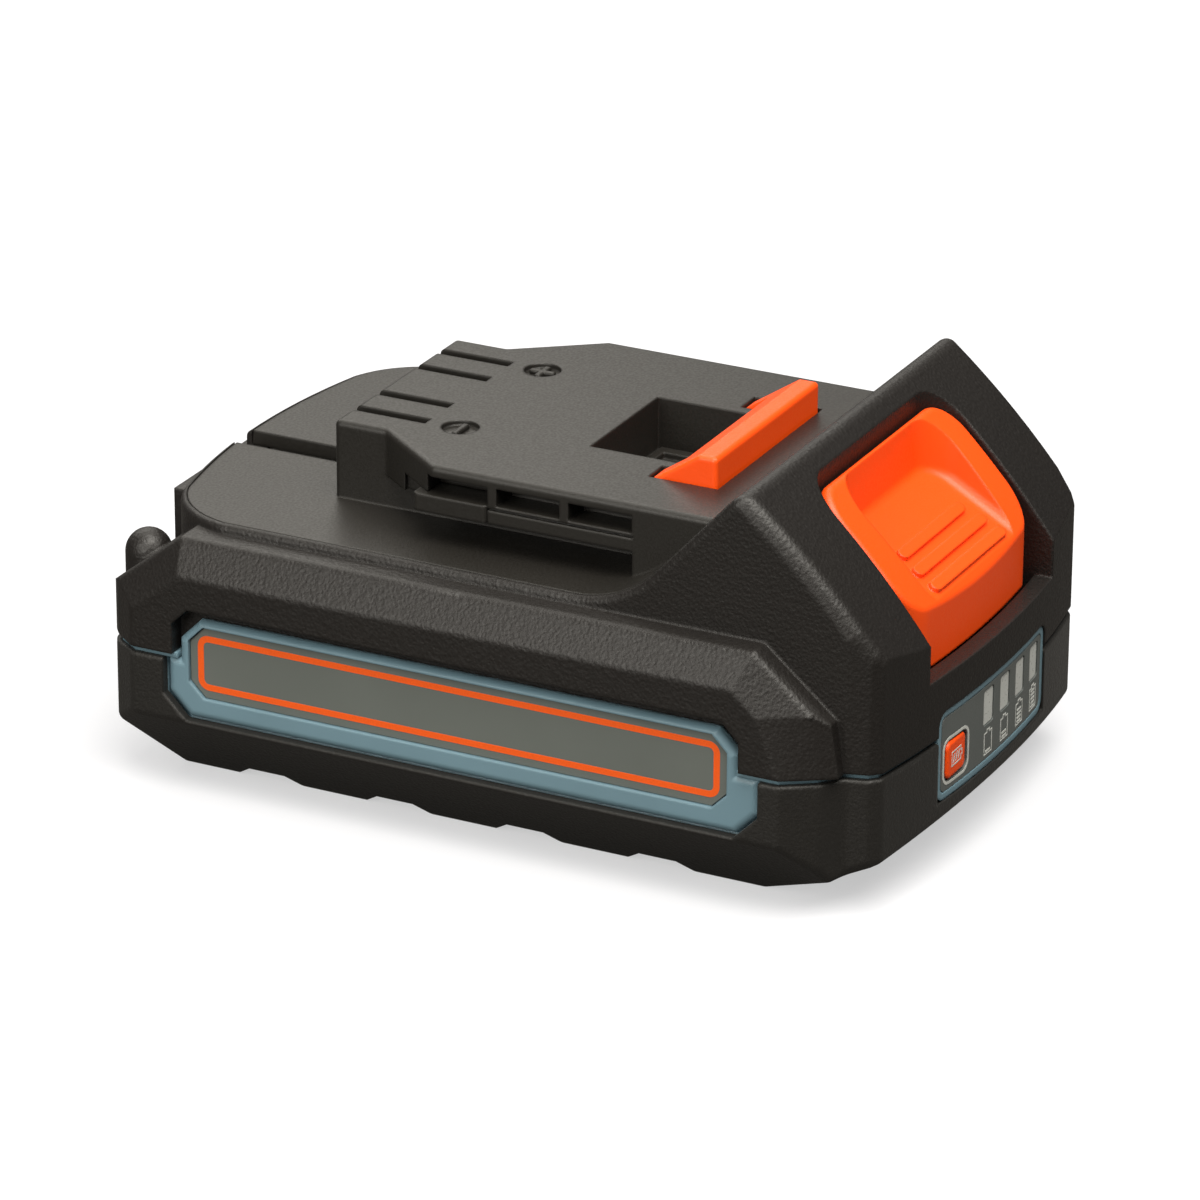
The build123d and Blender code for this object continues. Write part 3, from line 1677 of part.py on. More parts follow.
with BuildPart() as test_button:
    with BuildSketch(Plane.XZ.offset(-key_back_y)):
        with Locations((key_x, key_z)):
            RectangleRounded(
                key_width - 2 * key_fit, key_height - 2 * key_fit, key_corner - key_fit
            )
    extrude(amount=key_back_y - key_face_y)
    fillet(test_button.faces().sort_by(Axis.Y)[0].edges(), key_soft)
    block(
        key_x - key_pocket_half,
        key_x + key_pocket_half,
        key_back_y - key_lug_depth,
        key_back_y,
        key_z - key_height / 2 - key_lug,
        key_z + key_height / 2 + key_lug,
    )
    block(
        key_x - key_pocket_half,
        key_x + key_pocket_half,
        key_stop_y,
        key_back_y,
        key_z - key_pocket_half,
        key_z + key_pocket_half,
        mode=Mode.SUBTRACT,
    )
write(test_button, "test_button")

with BuildPart() as gauge_overlay:
    with BuildSketch(Plane.XY.offset(overlay_foot_z)):
        with Locations((0, front_y + front_radius)):
            Circle(front_radius - gauge_inset)
            Circle(front_radius - overlay_back, mode=Mode.SUBTRACT)
        with Locations((0, front_y)):
            Rectangle(2 * overlay_half, 2 * front_bow, mode=Mode.INTERSECT)
    extrude(amount=overlay_top_z - overlay_foot_z)
    with BuildSketch(Plane.XZ):
        with Locations((0, (overlay_foot_z + overlay_top_z) / 2)):
            RectangleRounded(
                2 * overlay_half - 2 * fit, overlay_top_z - overlay_foot_z - 2 * fit, gauge_corner / 2
            )
        for window_x in window_places:
            with Locations((window_x, window_mid_z)):
                RectangleRounded(
                    window_width,
                    window_top_z - window_foot_z,
                    window_corner,
                    mode=Mode.SUBTRACT,
                )
        with Locations((key_x, key_z)):
            RectangleRounded(key_width, key_height, key_corner, mode=Mode.SUBTRACT)
    extrude(amount=far, both=True, mode=Mode.INTERSECT)
write(gauge_overlay, "gauge_overlay")

# Flat jumper from the gauge over the first cells to the main board
flex_thickness = 0.3
flex_x = -4.0
flex_width = 8.0
flex_bend = 1.2
flex_low_z = 16.0
flex_run = 2.6
flex_wall_gap = 1.0
flex_over = 0.5
flex_board_lap = 4.0

flex_rise_y = tub_step_y + tub_skin + flex_wall_gap

with BuildPart() as gauge_flex:
    with BuildSketch(Plane.YZ.offset(flex_x - flex_width / 2)):
        with BuildLine():
            FilletPolyline(
                (gauge_board_y + gauge_board_thickness, flex_low_z),
                (gauge_board_y + gauge_board_thickness + flex_run, flex_low_z),
                (flex_rise_y, cell_top - flex_bend),
                (flex_rise_y + 2 * flex_bend, cell_top + flex_over),
                (board_front_y - flex_board_lap, cell_top + flex_over),
                (board_front_y, board_z - flex_thickness / 2),
                (board_front_y + flex_board_lap, board_z - flex_thickness / 2),
                radius=flex_bend,
            )
        trace(line_width=flex_thickness)
    extrude(amount=flex_width)
write(gauge_flex, "gauge_flex")

# Temperature sensor between the middle cell and the board
sensor_radius = 1.2
sensor_height = 1.8
sensor_lead_radius = 0.25
sensor_lead_half = 0.6

with BuildPart() as thermistor:
    with BuildSketch(Plane.XY.offset(cell_top)):
        with Locations((0, cell_places[cell_count // 2])):
            Circle(sensor_radius)
    extrude(amount=sensor_height)
    with BuildSketch(Plane.XY.offset(cell_top + sensor_height)):
        with Locations(
            (-sensor_lead_half, cell_places[cell_count // 2]),
            (sensor_lead_half, cell_places[cell_count // 2]),
        ):
            Circle(sensor_lead_radius)
    extrude(amount=board_z - cell_top - sensor_height)
write(thermistor, "thermistor")

# Label plates in the seats of the tongues
label_thickness = 0.5

for side, side_name in ((-1, "left"), (1, "right")):
    with BuildPart() as side_label:
        with BuildSketch(Plane.YZ.offset(side * (tongue_half - label_depth))):
            Polygon(
                *cut_corner_plate(
                    label_front_y + fit,
                    label_nose_y - fit,
                    label_foot_z + fit,
                    label_top_z - fit,
                    label_corner,
                    label_corner,
                )
            )
        extrude(amount=side * label_thickness)
    write(side_label, f"side_label_{side_name}")

# Four screws that close the housing from below
screw_end_room = 0.6
screw_drive_radius = 0.9
screw_drive_depth = 0.8

with BuildPart() as housing_screws:
    with BuildSketch(Plane.XY.offset(screw_seat_z)):
        with Locations(*boss_places):
            Circle(screw_radius)
    extrude(amount=split_z + post_height - housing_wall - screw_end_room - screw_seat_z)
    with BuildSketch(Plane.XY.offset(screw_seat_z)):
        with Locations(*boss_places):
            Circle(screw_head_radius)
    extrude(amount=-screw_head_height)
    with BuildSketch(Plane.XY.offset(screw_seat_z - screw_head_height)):
        with Locations(*boss_places):
            RegularPolygon(screw_drive_radius, 6)
    extrude(amount=screw_drive_depth, mode=Mode.SUBTRACT)
write(housing_screws, "housing_screws")
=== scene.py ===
import math

import bmesh
import bpy
from mathutils import Matrix, Vector


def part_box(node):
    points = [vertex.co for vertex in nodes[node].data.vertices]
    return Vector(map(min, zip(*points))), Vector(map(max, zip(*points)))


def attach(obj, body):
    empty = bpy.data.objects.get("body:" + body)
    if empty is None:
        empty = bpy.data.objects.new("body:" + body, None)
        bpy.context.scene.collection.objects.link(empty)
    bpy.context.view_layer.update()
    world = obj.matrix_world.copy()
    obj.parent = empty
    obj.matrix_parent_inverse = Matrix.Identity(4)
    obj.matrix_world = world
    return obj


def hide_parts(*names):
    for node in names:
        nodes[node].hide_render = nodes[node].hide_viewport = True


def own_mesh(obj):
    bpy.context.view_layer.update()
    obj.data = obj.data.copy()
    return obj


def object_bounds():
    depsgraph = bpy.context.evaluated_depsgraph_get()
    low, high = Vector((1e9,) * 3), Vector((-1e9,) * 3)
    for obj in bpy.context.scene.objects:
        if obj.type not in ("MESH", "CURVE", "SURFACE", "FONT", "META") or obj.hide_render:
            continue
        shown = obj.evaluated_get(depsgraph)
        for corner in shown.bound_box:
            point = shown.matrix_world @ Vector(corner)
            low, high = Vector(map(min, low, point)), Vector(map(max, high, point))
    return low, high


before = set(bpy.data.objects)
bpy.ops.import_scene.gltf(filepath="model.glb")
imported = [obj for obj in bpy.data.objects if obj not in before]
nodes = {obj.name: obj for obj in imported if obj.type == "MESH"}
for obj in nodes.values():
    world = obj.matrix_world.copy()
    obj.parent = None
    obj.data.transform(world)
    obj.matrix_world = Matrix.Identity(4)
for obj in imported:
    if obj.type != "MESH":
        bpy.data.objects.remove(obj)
cad_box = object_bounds()


# Studio: a broad sheet of pale paper under the pack, a wide soft lamp overhead, a smaller one
# behind that glances off the top and a fill at the left. The surround is white to the camera and
# dim to everything else, so the black faces stay black.
def linear(hex_code):
    """sRGB hex turned to linear colour with full alpha."""
    channels = [int(hex_code[i : i + 2], 16) / 255 for i in (1, 3, 5)]
    return [c / 12.92 if c <= 0.04045 else ((c + 0.055) / 1.055) ** 2.4 for c in channels] + [1.0]


def add_node(tree, kind, settings=None, inputs=None):
    """One shader or geometry node, with its settings, input values and incoming links."""
    node = tree.nodes.new(kind)
    for key, value in (settings or {}).items():
        setattr(node, key, value)
    for key, value in (inputs or {}).items():
        if isinstance(value, bpy.types.NodeSocket):
            tree.links.new(value, node.inputs[key])
        else:
            node.inputs[key].default_value = value
    return node


scene = bpy.context.scene
scene.view_settings.view_transform = "Standard"

camera_data = bpy.data.cameras.new("camera")
camera_data.sensor_width = 36.0
camera_data.lens = 196.5
camera_data.clip_start = 0.05
camera_data.clip_end = 20.0
camera = bpy.data.objects.new("camera", camera_data)
scene.collection.objects.link(camera)
camera_place = Vector((-0.72423, -0.36040, 0.36397))
camera_forward = Vector((0.82406, 0.41100, -0.38988)).normalized()
camera_up = Vector((0.3463, 0.1793, 0.9209))
camera_right = camera_forward.cross(camera_up).normalized()
camera_up = camera_right.cross(camera_forward)
camera_turn = Matrix((camera_right, camera_up, -camera_forward)).transposed()
camera.matrix_world = Matrix.Translation(camera_place) @ camera_turn.to_4x4()
scene.camera = camera

# The paper lies a hair under the feet, so that no two faces share one plane. It glows a little
# near the pack and more with distance, which makes the horizon fade into the white surround.
paper_half = 8
paper_z = -0.00005
paper_corners = [
    (-paper_half, -paper_half, paper_z),
    (paper_half, -paper_half, paper_z),
    (paper_half, paper_half, paper_z),
    (-paper_half, paper_half, paper_z),
]
floor_mesh = bpy.data.meshes.new("floor")
floor_mesh.from_pydata(paper_corners, [], [(0, 1, 2, 3)])
floor = bpy.data.objects.new("floor", floor_mesh)
scene.collection.objects.link(floor)
paper = bpy.data.materials.new("seamless_white_paper")
paper.use_nodes = True
paper_tree = paper.node_tree
paper_tree.nodes.clear()
paper_sheet = add_node(
    paper_tree, "ShaderNodeBsdfDiffuse", inputs={"Color": linear("#9c9da2")}
)
paper_place = add_node(paper_tree, "ShaderNodeTexCoord")
paper_reach = add_node(
    paper_tree,
    "ShaderNodeVectorMath",
    {"operation": "LENGTH"},
    {0: paper_place.outputs["Object"]},
)
paper_far = add_node(
    paper_tree,
    "ShaderNodeMapRange",
    inputs={
        "Value": paper_reach.outputs["Value"],
        "From Min": 0.12,
        "From Max": 1.2,
        "To Min": 0.52,
        "To Max": 1.05,
    },
)
paper_glow = add_node(
    paper_tree,
    "ShaderNodeEmission",
    inputs={"Color": linear("#ffffff"), "Strength": paper_far.outputs[0]},
)
paper_lit = add_node(
    paper_tree, "ShaderNodeAddShader", inputs={0: paper_sheet.outputs[0], 1: paper_glow.outputs[0]}
)
paper_seen = add_node(paper_tree, "ShaderNodeLightPath")
paper_dim = add_node(paper_tree, "ShaderNodeBsdfDiffuse", inputs={"Color": linear("#504e4c")})
paper_mix = add_node(
    paper_tree,
    "ShaderNodeMixShader",
    inputs={
        0: paper_seen.outputs["Is Camera Ray"],
        1: paper_dim.outputs[0],
        2: paper_lit.outputs[0],
    },
)
add_node(paper_tree, "ShaderNodeOutputMaterial", inputs={"Surface": paper_mix.outputs[0]})
floor.data.materials.append(paper)

world = bpy.data.worlds.new("studio")
world.use_nodes = True
scene.world = world
world_tree = world.node_tree
world_tree.nodes.clear()
world_seen = add_node(world_tree, "ShaderNodeLightPath")
world_bright = add_node(
    world_tree,
    "ShaderNodeMath",
    {"operation": "MAXIMUM"},
    {0: world_seen.outputs["Is Camera Ray"], 1: world_seen.outputs["Is Transmission Ray"]},
)
world_strength = add_node(
    world_tree,
    "ShaderNodeMapRange",
    inputs={"Value": world_bright.outputs[0], "To Min": 0.09, "To Max": 1.0},
)
surround = add_node(
    world_tree,
    "ShaderNodeBackground",
    inputs={"Color": linear("#ffffff"), "Strength": world_strength.outputs[0]},
)
add_node(world_tree, "ShaderNodeOutputWorld", inputs={"Surface": surround.outputs[0]})

lamp_target = Vector((0, 0, 0.02))
lamp_colour = linear("#fffbf2")[:3]


def softbox(name, place, side, watts):
    """A square area lamp that faces the middle of the pack."""
    lamp_data = bpy.data.lights.new(name, "AREA")
    lamp_data.shape = "RECTANGLE"
    lamp_data.size = side
    lamp_data.size_y = side
    lamp_data.energy = watts
    lamp_data.color = lamp_colour
    lamp = bpy.data.objects.new(name, lamp_data)
    scene.collection.objects.link(lamp)
    lamp.location = place
    lamp.rotation_euler = (lamp_target - Vector(place)).to_track_quat("-Z", "Y").to_euler()


softbox("top_softbox", (-0.2, -0.3, 0.95), side=0.9, watts=20.0)
softbox("back_softbox", (0.45, 0.5, 0.65), side=0.8, watts=4.5)
softbox("left_softbox", (-0.9, 0.15, 0.45), side=0.6, watts=6.0)


# Lower bumper: soft black elastomer moulded over the tray. Its mould is spark-eroded, so the
# skin is almost matt, with a fine pebble and a faint grey bloom, and a highlight painted paler
# along the edges.
def moulded_plastic(
    name,
    colour,
    roughness,
    grain_mm,
    grain_depth_mm,
    edge_mm,
    tint=0.12,
    sheen=0.0,
    pebble=0.0,
    edge_highlight=0.0,
):
    """Moulded plastic: grain, slow tone drift, and soft edges painted lighter by a share as a
    highlight.
    """
    drift_per_metre = 70.0
    pebbles_per_grain = 0.62
    # Painted edge highlight: how far the base colour is raised on the edges.
    highlight_gain = 1.6
    highlight_lift = 0.02
    material = bpy.data.materials.new(name)
    material.use_nodes = True
    tree = material.node_tree
    tree.nodes.clear()
    place = add_node(tree, "ShaderNodeTexCoord")
    drift = add_node(
        tree,
        "ShaderNodeTexNoise",
        inputs={"Vector": place.outputs["Object"], "Scale": drift_per_metre, "Detail": 3.0},
    )
    base = linear(colour)
    darker = [c * (1 - tint) for c in base[:3]] + [1.0]
    lighter = [c * (1 + tint) for c in base[:3]] + [1.0]
    tone = add_node(
        tree,
        "ShaderNodeMix",
        {"data_type": "RGBA"},
        {"Factor": drift.outputs["Fac"], "A": darker, "B": lighter},
    )
    soft_edge = add_node(tree, "ShaderNodeBevel", {"samples": 6}, {"Radius": edge_mm / 1000})
    surface = add_node(tree, "ShaderNodeNewGeometry")
    edge_turn = add_node(
        tree,
        "ShaderNodeVectorMath",
        {"operation": "DOT_PRODUCT"},
        {0: soft_edge.outputs["Normal"], 1: surface.outputs["Normal"]},
    )
    # Painted highlight: where the softened normal turns from the true one, the edge is coloured
    # lighter by the given share, in place of the light a rounded edge catches.
    on_edge = add_node(
        tree,
        "ShaderNodeMapRange",
        inputs={
            "Value": edge_turn.outputs["Value"],
            "From Min": 0.78,
            "From Max": 0.99,
            "To Min": edge_highlight,
            "To Max": 0.0,
        },
    )
    highlight_colour = [min(1.0, c * highlight_gain + highlight_lift) for c in base[:3]] + [1.0]
    highlighted_tone = add_node(
        tree,
        "ShaderNodeMix",
        {"data_type": "RGBA"},
        {"Factor": on_edge.outputs[0], "A": tone.outputs["Result"], "B": highlight_colour},
    )
    grain = add_node(
        tree,
        "ShaderNodeTexNoise",
        inputs={
            "Vector": place.outputs["Object"],
            "Scale": 1000.0 / grain_mm,
            "Detail": 1.5,
            "Roughness": 0.45,
        },
    )
    pebbles = add_node(
        tree,
        "ShaderNodeTexVoronoi",
        {"feature": "SMOOTH_F1"},
        {
            "Vector": place.outputs["Object"],
            "Scale": 1000.0 * pebbles_per_grain / grain_mm,
            "Smoothness": 0.6,
        },
    )
    skin_height = add_node(
        tree,
        "ShaderNodeMix",
        inputs={"Factor": pebble, "A": grain.outputs["Fac"], "B": pebbles.outputs["Distance"]},
    )
    rough = add_node(
        tree,
        "ShaderNodeMapRange",
        inputs={
            "Value": grain.outputs["Fac"],
            "From Min": 0.3,
            "From Max": 0.7,
            "To Min": roughness - 0.05,
            "To Max": roughness + 0.08,
        },
    )
    relief = add_node(
        tree,
        "ShaderNodeBump",
        inputs={
            "Strength": 1.0,
            "Distance": grain_depth_mm / 1000,
            "Height": skin_height.outputs["Result"],
            "Normal": soft_edge.outputs["Normal"],
        },
    )
    skin = add_node(
        tree,
        "ShaderNodeBsdfPrincipled",
        inputs={
            "Base Color": highlighted_tone.outputs["Result"],
            "Roughness": rough.outputs[0],
            "IOR": 1.5,
            "Normal": relief.outputs["Normal"],
            "Sheen Weight": sheen,
            "Sheen Roughness": 0.5,
        },
    )
    add_node(tree, "ShaderNodeOutputMaterial", inputs={"Surface": skin.outputs[0]})
    return material


def finish_node(name, material):
    """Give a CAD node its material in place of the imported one."""
    node = nodes[name]
    node.data.materials.clear()
    node.data.materials.append(material)


# Real grain is often finer than 0.2 mm. On the outer plastics it is drawn 0.2 mm wide or more,
# as coarse as it has to be to show at this distance.
overmould_rubber = moulded_plastic(
    "black_overmoulded_rubber",
    "#161411",
    roughness=0.53,
    grain_mm=0.34,
    grain_depth_mm=0.085,
    edge_mm=0.5,
    sheen=0.05,
    pebble=0.35,
    # Share of painted highlight on the edges.
    edge_highlight=0.25,
)
finish_node("lower_bumper", overmould_rubber)


# Tray: blue-grey ABS from a smooth mould, so it is satin and even. It shows as the line at the
# split, the beads round the labels and the frame of the gauge; the bumper is moulded over the rest.
tray_abs = moulded_plastic(
    "blue_grey_satin_abs",
    "#6e8b98",
    roughness=0.4,
    grain_mm=0.22,
    grain_depth_mm=0.01,
    edge_mm=0.5,
    # Share of painted highlight on the edges.
    edge_highlight=0.35,
)
finish_node("lower_shell", tray_abs)


# Cells and what holds and joins them: steel cells in shrunk sleeves, which are glossy, grey moulded
# frames, welded nickel strips with a fine drawn sheen, and matt insulating paper at both ends. The
# closed housing hides them all.
cell_sleeve = moulded_plastic(
    "pvc_cell_sleeve", "#2f6f9f", roughness=0.35, grain_mm=1.5, grain_depth_mm=0.005, edge_mm=0.3
)
frame_plastic = moulded_plastic(
    "grey_frame_plastic", "#b9b8b0", roughness=0.5, grain_mm=0.5, grain_depth_mm=0.01, edge_mm=0.3
)
fish_paper = moulded_plastic(
    "insulating_fish_paper",
    "#c9c3ab",
    roughness=0.75,
    grain_mm=0.4,
    grain_depth_mm=0.01,
    edge_mm=0.1,
)
for number in range(1, 6):
    finish_node(f"cell_{number}", cell_sleeve)


def plain_metal(name, colour, roughness, scratch_mm):
    """Bare or plated metal with fine drawn scratches."""
    material = bpy.data.materials.new(name)
    material.use_nodes = True
    tree = material.node_tree
    tree.nodes.clear()
    place = add_node(tree, "ShaderNodeTexCoord")
    scratch = add_node(
        tree,
        "ShaderNodeTexNoise",
        inputs={"Vector": place.outputs["Object"], "Scale": 1000.0 / scratch_mm, "Detail": 3.0},
    )
    rough = add_node(
        tree,
        "ShaderNodeMapRange",
        inputs={
            "Value": scratch.outputs["Fac"],
            "To Min": roughness - 0.08,
            "To Max": roughness + 0.1,
        },
    )
    relief = add_node(
        tree,
        "ShaderNodeBump",
        inputs={"Strength": 0.5, "Distance": 0.00001, "Height": scratch.outputs["Fac"]},
    )
    skin = add_node(
        tree,
        "ShaderNodeBsdfPrincipled",
        inputs={
            "Base Color": linear(colour),
            "Metallic": 1.0,
            "Roughness": rough.outputs[0],
            "Normal": relief.outputs["Normal"],
        },
    )
    add_node(tree, "ShaderNodeOutputMaterial", inputs={"Surface": skin.outputs[0]})
    return material


nickel = plain_metal("nickel_strip", "#b7b0a4", roughness=0.32, scratch_mm=0.6)
for side_name in ("left", "right"):
    finish_node(f"cell_carrier_{side_name}", frame_plastic)
    finish_node(f"end_insulator_{side_name}", fish_paper)
    finish_node(f"cell_strips_{side_name}", nickel)


# Circuit board over the cells, held by zinc-plated screws, with its parts and the sensor: glass
# fibre under a satin green mask, and dull black resin cases. An amber film joins it to the gauge's
# own small board.
solder_mask = moulded_plastic(
    "green_solder_mask", "#1d5a33", roughness=0.4, grain_mm=0.8, grain_depth_mm=0.01, edge_mm=0.1
)
resin_case = moulded_plastic(
    "black_resin_case", "#1b1b1c", roughness=0.55, grain_mm=0.3, grain_depth_mm=0.01, edge_mm=0.1
)
jumper_film = moulded_plastic(
    "amber_jumper_film", "#a8641e", roughness=0.3, grain_mm=1.0, grain_depth_mm=0.002, edge_mm=0.05
)
screw_steel = plain_metal("zinc_plated_screw_steel", "#a7a9ab", roughness=0.3, scratch_mm=0.5)
finish_node("circuit_board", solder_mask)
finish_node("gauge_board", solder_mask)
finish_node("board_components", resin_case)
finish_node("test_switch", resin_case)
finish_node("thermistor", resin_case)
finish_node("gauge_flex", jumper_film)
finish_node("board_screws", screw_steel)


# Cover: black glass-filled nylon with a coarse pebbled grain on all its outer faces, which breaks
# each highlight into grey specks. It stands on the tray's rim, and four screws from below hold it.
cover_nylon = moulded_plastic(
    "black_grained_nylon",
    "#181513",
    roughness=0.46,
    grain_mm=0.35,
    grain_depth_mm=0.095,
    edge_mm=0.6,
    pebble=0.5,
    # Share of painted highlight on the edges.
    edge_highlight=0.25,
)
finish_node("upper_housing", cover_nylon)


# Deck plate with its rail block and wear blocks: the same nylon, smooth-moulded, so the top has a
# soft even gloss. The two polarity signs stand raised in round recesses in line with the outer
# terminal slots, moulded in one with the block.
def inset(loop, distance):
    """An anticlockwise outline drawn in by a distance, with mitred corners."""
    drawn_in = []
    for before, here, after in zip(loop[-1:] + loop[:-1], loop, loop[1:] + loop[:1]):
        edge_in = (Vector(here) - Vector(before)).normalized()
        edge_out = (Vector(after) - Vector(here)).normalized()
        side_in = Vector((-edge_in.y, edge_in.x))
        side_out = Vector((-edge_out.y, edge_out.x))
        mitre = (side_in + side_out) / (1 + side_in.dot(side_out))
        drawn_in.append((here[0] + mitre.x * distance, here[1] + mitre.y * distance))
    return drawn_in


def rounded_box(centre, width, height, radius, steps=5):
    """Anticlockwise outline of a rectangle with rounded corners."""
    outline = []
    for quarter, (side_u, side_v) in enumerate(((1, 1), (-1, 1), (-1, -1), (1, -1))):
        middle_u = centre[0] + side_u * (width / 2 - radius)
        middle_v = centre[1] + side_v * (height / 2 - radius)
        for step in range(steps + 1):
            angle = math.pi / 2 * (quarter + step / steps)
            corner_u = middle_u + radius * math.cos(angle)
            corner_v = middle_v + radius * math.sin(angle)
            outline.append((corner_u, corner_v))
    return outline


def join_rings(form, rings, capped):
    """Faces from each ring of corners to the next, and over both ends where capped."""
    for ring, after in zip(rings, rings[1:]):
        for i in range(len(ring)):
            form.faces.new((ring[i - 1], ring[i], after[i], after[i - 1]))
    if capped:
        form.faces.new(rings[0][::-1])
        form.faces.new(rings[-1])


def mesh_of(name, form):
    """Mesh of a finished form, with its faces turned outwards."""
    bmesh.ops.recalc_face_normals(form, faces=form.faces)
    mesh = bpy.data.meshes.new(name)
    form.to_mesh(mesh)
    form.free()
    return mesh


def raised_form(name, outlines, place, low, high, soft, material, body):
    """Flat-topped relief with softened rims over each outline, or between an outline and a hole."""
    form = bmesh.new()
    for outer, hole in outlines:
        rings = [(outer, low), (outer, high - soft), (inset(outer, soft), high)]
        if hole:
            rings += [(inset(hole, -soft), high), (hole, high - soft), (hole, low), (outer, low)]
        corners = [[form.verts.new(place(u, v, height)) for u, v in ring] for ring, height in rings]
        join_rings(form, corners, capped=not hole)
    bmesh.ops.remove_doubles(form, verts=form.verts, dist=1e-7)
    mesh = mesh_of(name, form)
    piece = bpy.data.objects.new(name, mesh)
    scene.collection.objects.link(piece)
    mesh.materials.append(material)
    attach(piece, body)
    return piece


deck_nylon = moulded_plastic(
    "black_smooth_nylon",
    "#1f1d1a",
    roughness=0.42,
    grain_mm=0.35,
    grain_depth_mm=0.012,
    edge_mm=0.5,
    # Share of painted highlight on the edges.
    edge_highlight=0.35,
)
finish_node("rail_deck", deck_nylon)
finish_node("rail_pad_left", deck_nylon)
finish_node("rail_pad_right", deck_nylon)

pack_end = -1000 * cad_box[0][1]
recess_floor = 47.0
sign_x = 500 * (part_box("contact_positive")[0][0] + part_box("contact_positive")[1][0])
sign_back = 41.9
sign_y = pack_end - sign_back
arm = 1.8
arm_half = 0.42
sign_corner = 0.1


def on_rail_top(u, v, height):
    """Point over the floor of the polarity recesses, from millimetres."""
    return Vector((u, v, recess_floor + height)) / 1000


plus_outline = [
    (arm_half, -arm), (arm_half, -arm_half), (arm, -arm_half), (arm, arm_half),
    (arm_half, arm_half), (arm_half, arm), (-arm_half, arm), (-arm_half, arm_half),
    (-arm, arm_half), (-arm, -arm_half), (-arm_half, -arm_half), (-arm_half, -arm),
]
plus_sign = [(sign_x + u, sign_y + v) for u, v in plus_outline]
minus_sign = rounded_box((-sign_x, sign_y), 2 * arm, 2 * arm_half, sign_corner)
raised_form(
    "polarity_signs",
    [(plus_sign, None), (minus_sign, None)],
    on_rail_top,
    low=-0.05,
    high=0.6,
    soft=0.12,
    material=deck_nylon,
    body="pack",
)


# Terminals: tin-plated copper leaves, stamped and bent, in a black resin comb under the deck
# plate. They can be seen only down the four slots.
contact_copper = plain_metal("tin_plated_copper", "#b08a63", roughness=0.3, scratch_mm=0.4)
finish_node("terminal_base", resin_case)
for pole in ("negative", "data", "thermal", "positive"):
    finish_node(f"contact_{pole}", contact_copper)


# Release tile and lock wedge, which move as one, and the key of the gauge: moulded signal-orange
# acetal, satin and dense in colour, with a fine grain and a highlight painted paler on the rims.
orange_acetal = moulded_plastic(
    "orange_satin_acetal",
    "#fd5006",
    roughness=0.42,
    grain_mm=0.3,
    grain_depth_mm=0.02,
    edge_mm=0.5,
    tint=0.04,
    # Share of painted highlight on the rims.
    edge_highlight=0.15,
)
finish_node("release_button", orange_acetal)
finish_node("latch", orange_acetal)


# Return springs: two coils of plated steel wire with closed ends. They stand on the floor of the
# well under the link of the release, and its travel presses them together. Sizes are in metres.
spring_low, spring_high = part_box("button_springs")
spring_length = spring_high[2] - spring_low[2]
wire_radius = 0.0003
wire_sides = 8
coil_radius = 0.0022
coil_turns = 6.5
closed_turns = 0.75
steps_per_turn = 24
coil_x = spring_high[0] - coil_radius - wire_radius
coil_y = (spring_low[1] + spring_high[1]) / 2
coil_foot = spring_low[2] + wire_radius
coil_rise = spring_length - 2 * wire_radius
coil_steps = int(coil_turns * steps_per_turn)
coil_form = bmesh.new()
for middle_x in (-coil_x, coil_x):
    wire_rings = []
    for step in range(coil_steps + 1):
        turns_made = step / steps_per_turn
        climb = (turns_made - closed_turns) / (coil_turns - 2 * closed_turns)
        height = coil_foot + coil_rise * min(1.0, max(0.0, climb))
        turn = 2 * math.pi * turns_made
        outward = Vector((math.cos(turn), math.sin(turn), 0))
        wire_middle = Vector((middle_x, coil_y, height)) + coil_radius * outward
        wire_ring = []
        for i in range(wire_sides):
            around = 2 * math.pi * i / wire_sides
            across = math.cos(around) * outward + Vector((0, 0, math.sin(around)))
            wire_ring.append(coil_form.verts.new(wire_middle + wire_radius * across))
        wire_rings.append(wire_ring)
    join_rings(coil_form, wire_rings, capped=True)
coil_mesh = mesh_of("return_springs", coil_form)
coil_mesh.materials.append(screw_steel)
return_springs = bpy.data.objects.new("return_springs", coil_mesh)
scene.collection.objects.link(return_springs)
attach(return_springs, "pack")
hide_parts("button_springs")
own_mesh(return_springs)


# Charge gauge: a grey polyester membrane, bowed with the front and glued in its frame, over four
# milky windows that spread the light of their lamps. A battery sign is screen-printed under each
# window, and a pale ring round the orange test key.
def screen_ink(name, colour, roughness):
    """Thin screen-printed ink: an even film with a faint mottle from the screen's mesh."""
    # One fleck in 0.24 mm; a real screen's mesh is near 0.1 mm and wouldn't show
    flecks_per_metre = 4200.0
    thin_share = 0.82
    material = bpy.data.materials.new(name)
    material.use_nodes = True
    tree = material.node_tree
    tree.nodes.clear()
    place = add_node(tree, "ShaderNodeTexCoord")
    mottle = add_node(
        tree,
        "ShaderNodeTexNoise",
        inputs={"Vector": place.outputs["Object"], "Scale": flecks_per_metre, "Detail": 2.0},
    )
    full = linear(colour)
    thin = [c * thin_share for c in full[:3]] + [1.0]
    film = add_node(
        tree,
        "ShaderNodeMix",
        {"data_type": "RGBA"},
        {"Factor": mottle.outputs["Fac"], "A": thin, "B": full},
    )
    level = add_node(
        tree,
        "ShaderNodeBump",
        inputs={"Strength": 0.4, "Distance": 0.000004, "Height": mottle.outputs["Fac"]},
    )
    ink = add_node(
        tree,
        "ShaderNodeBsdfPrincipled",
        inputs={
            "Base Color": film.outputs["Result"],
            "Roughness": roughness,
            "Normal": level.outputs["Normal"],
        },
    )
    add_node(tree, "ShaderNodeOutputMaterial", inputs={"Surface": ink.outputs[0]})
    return material


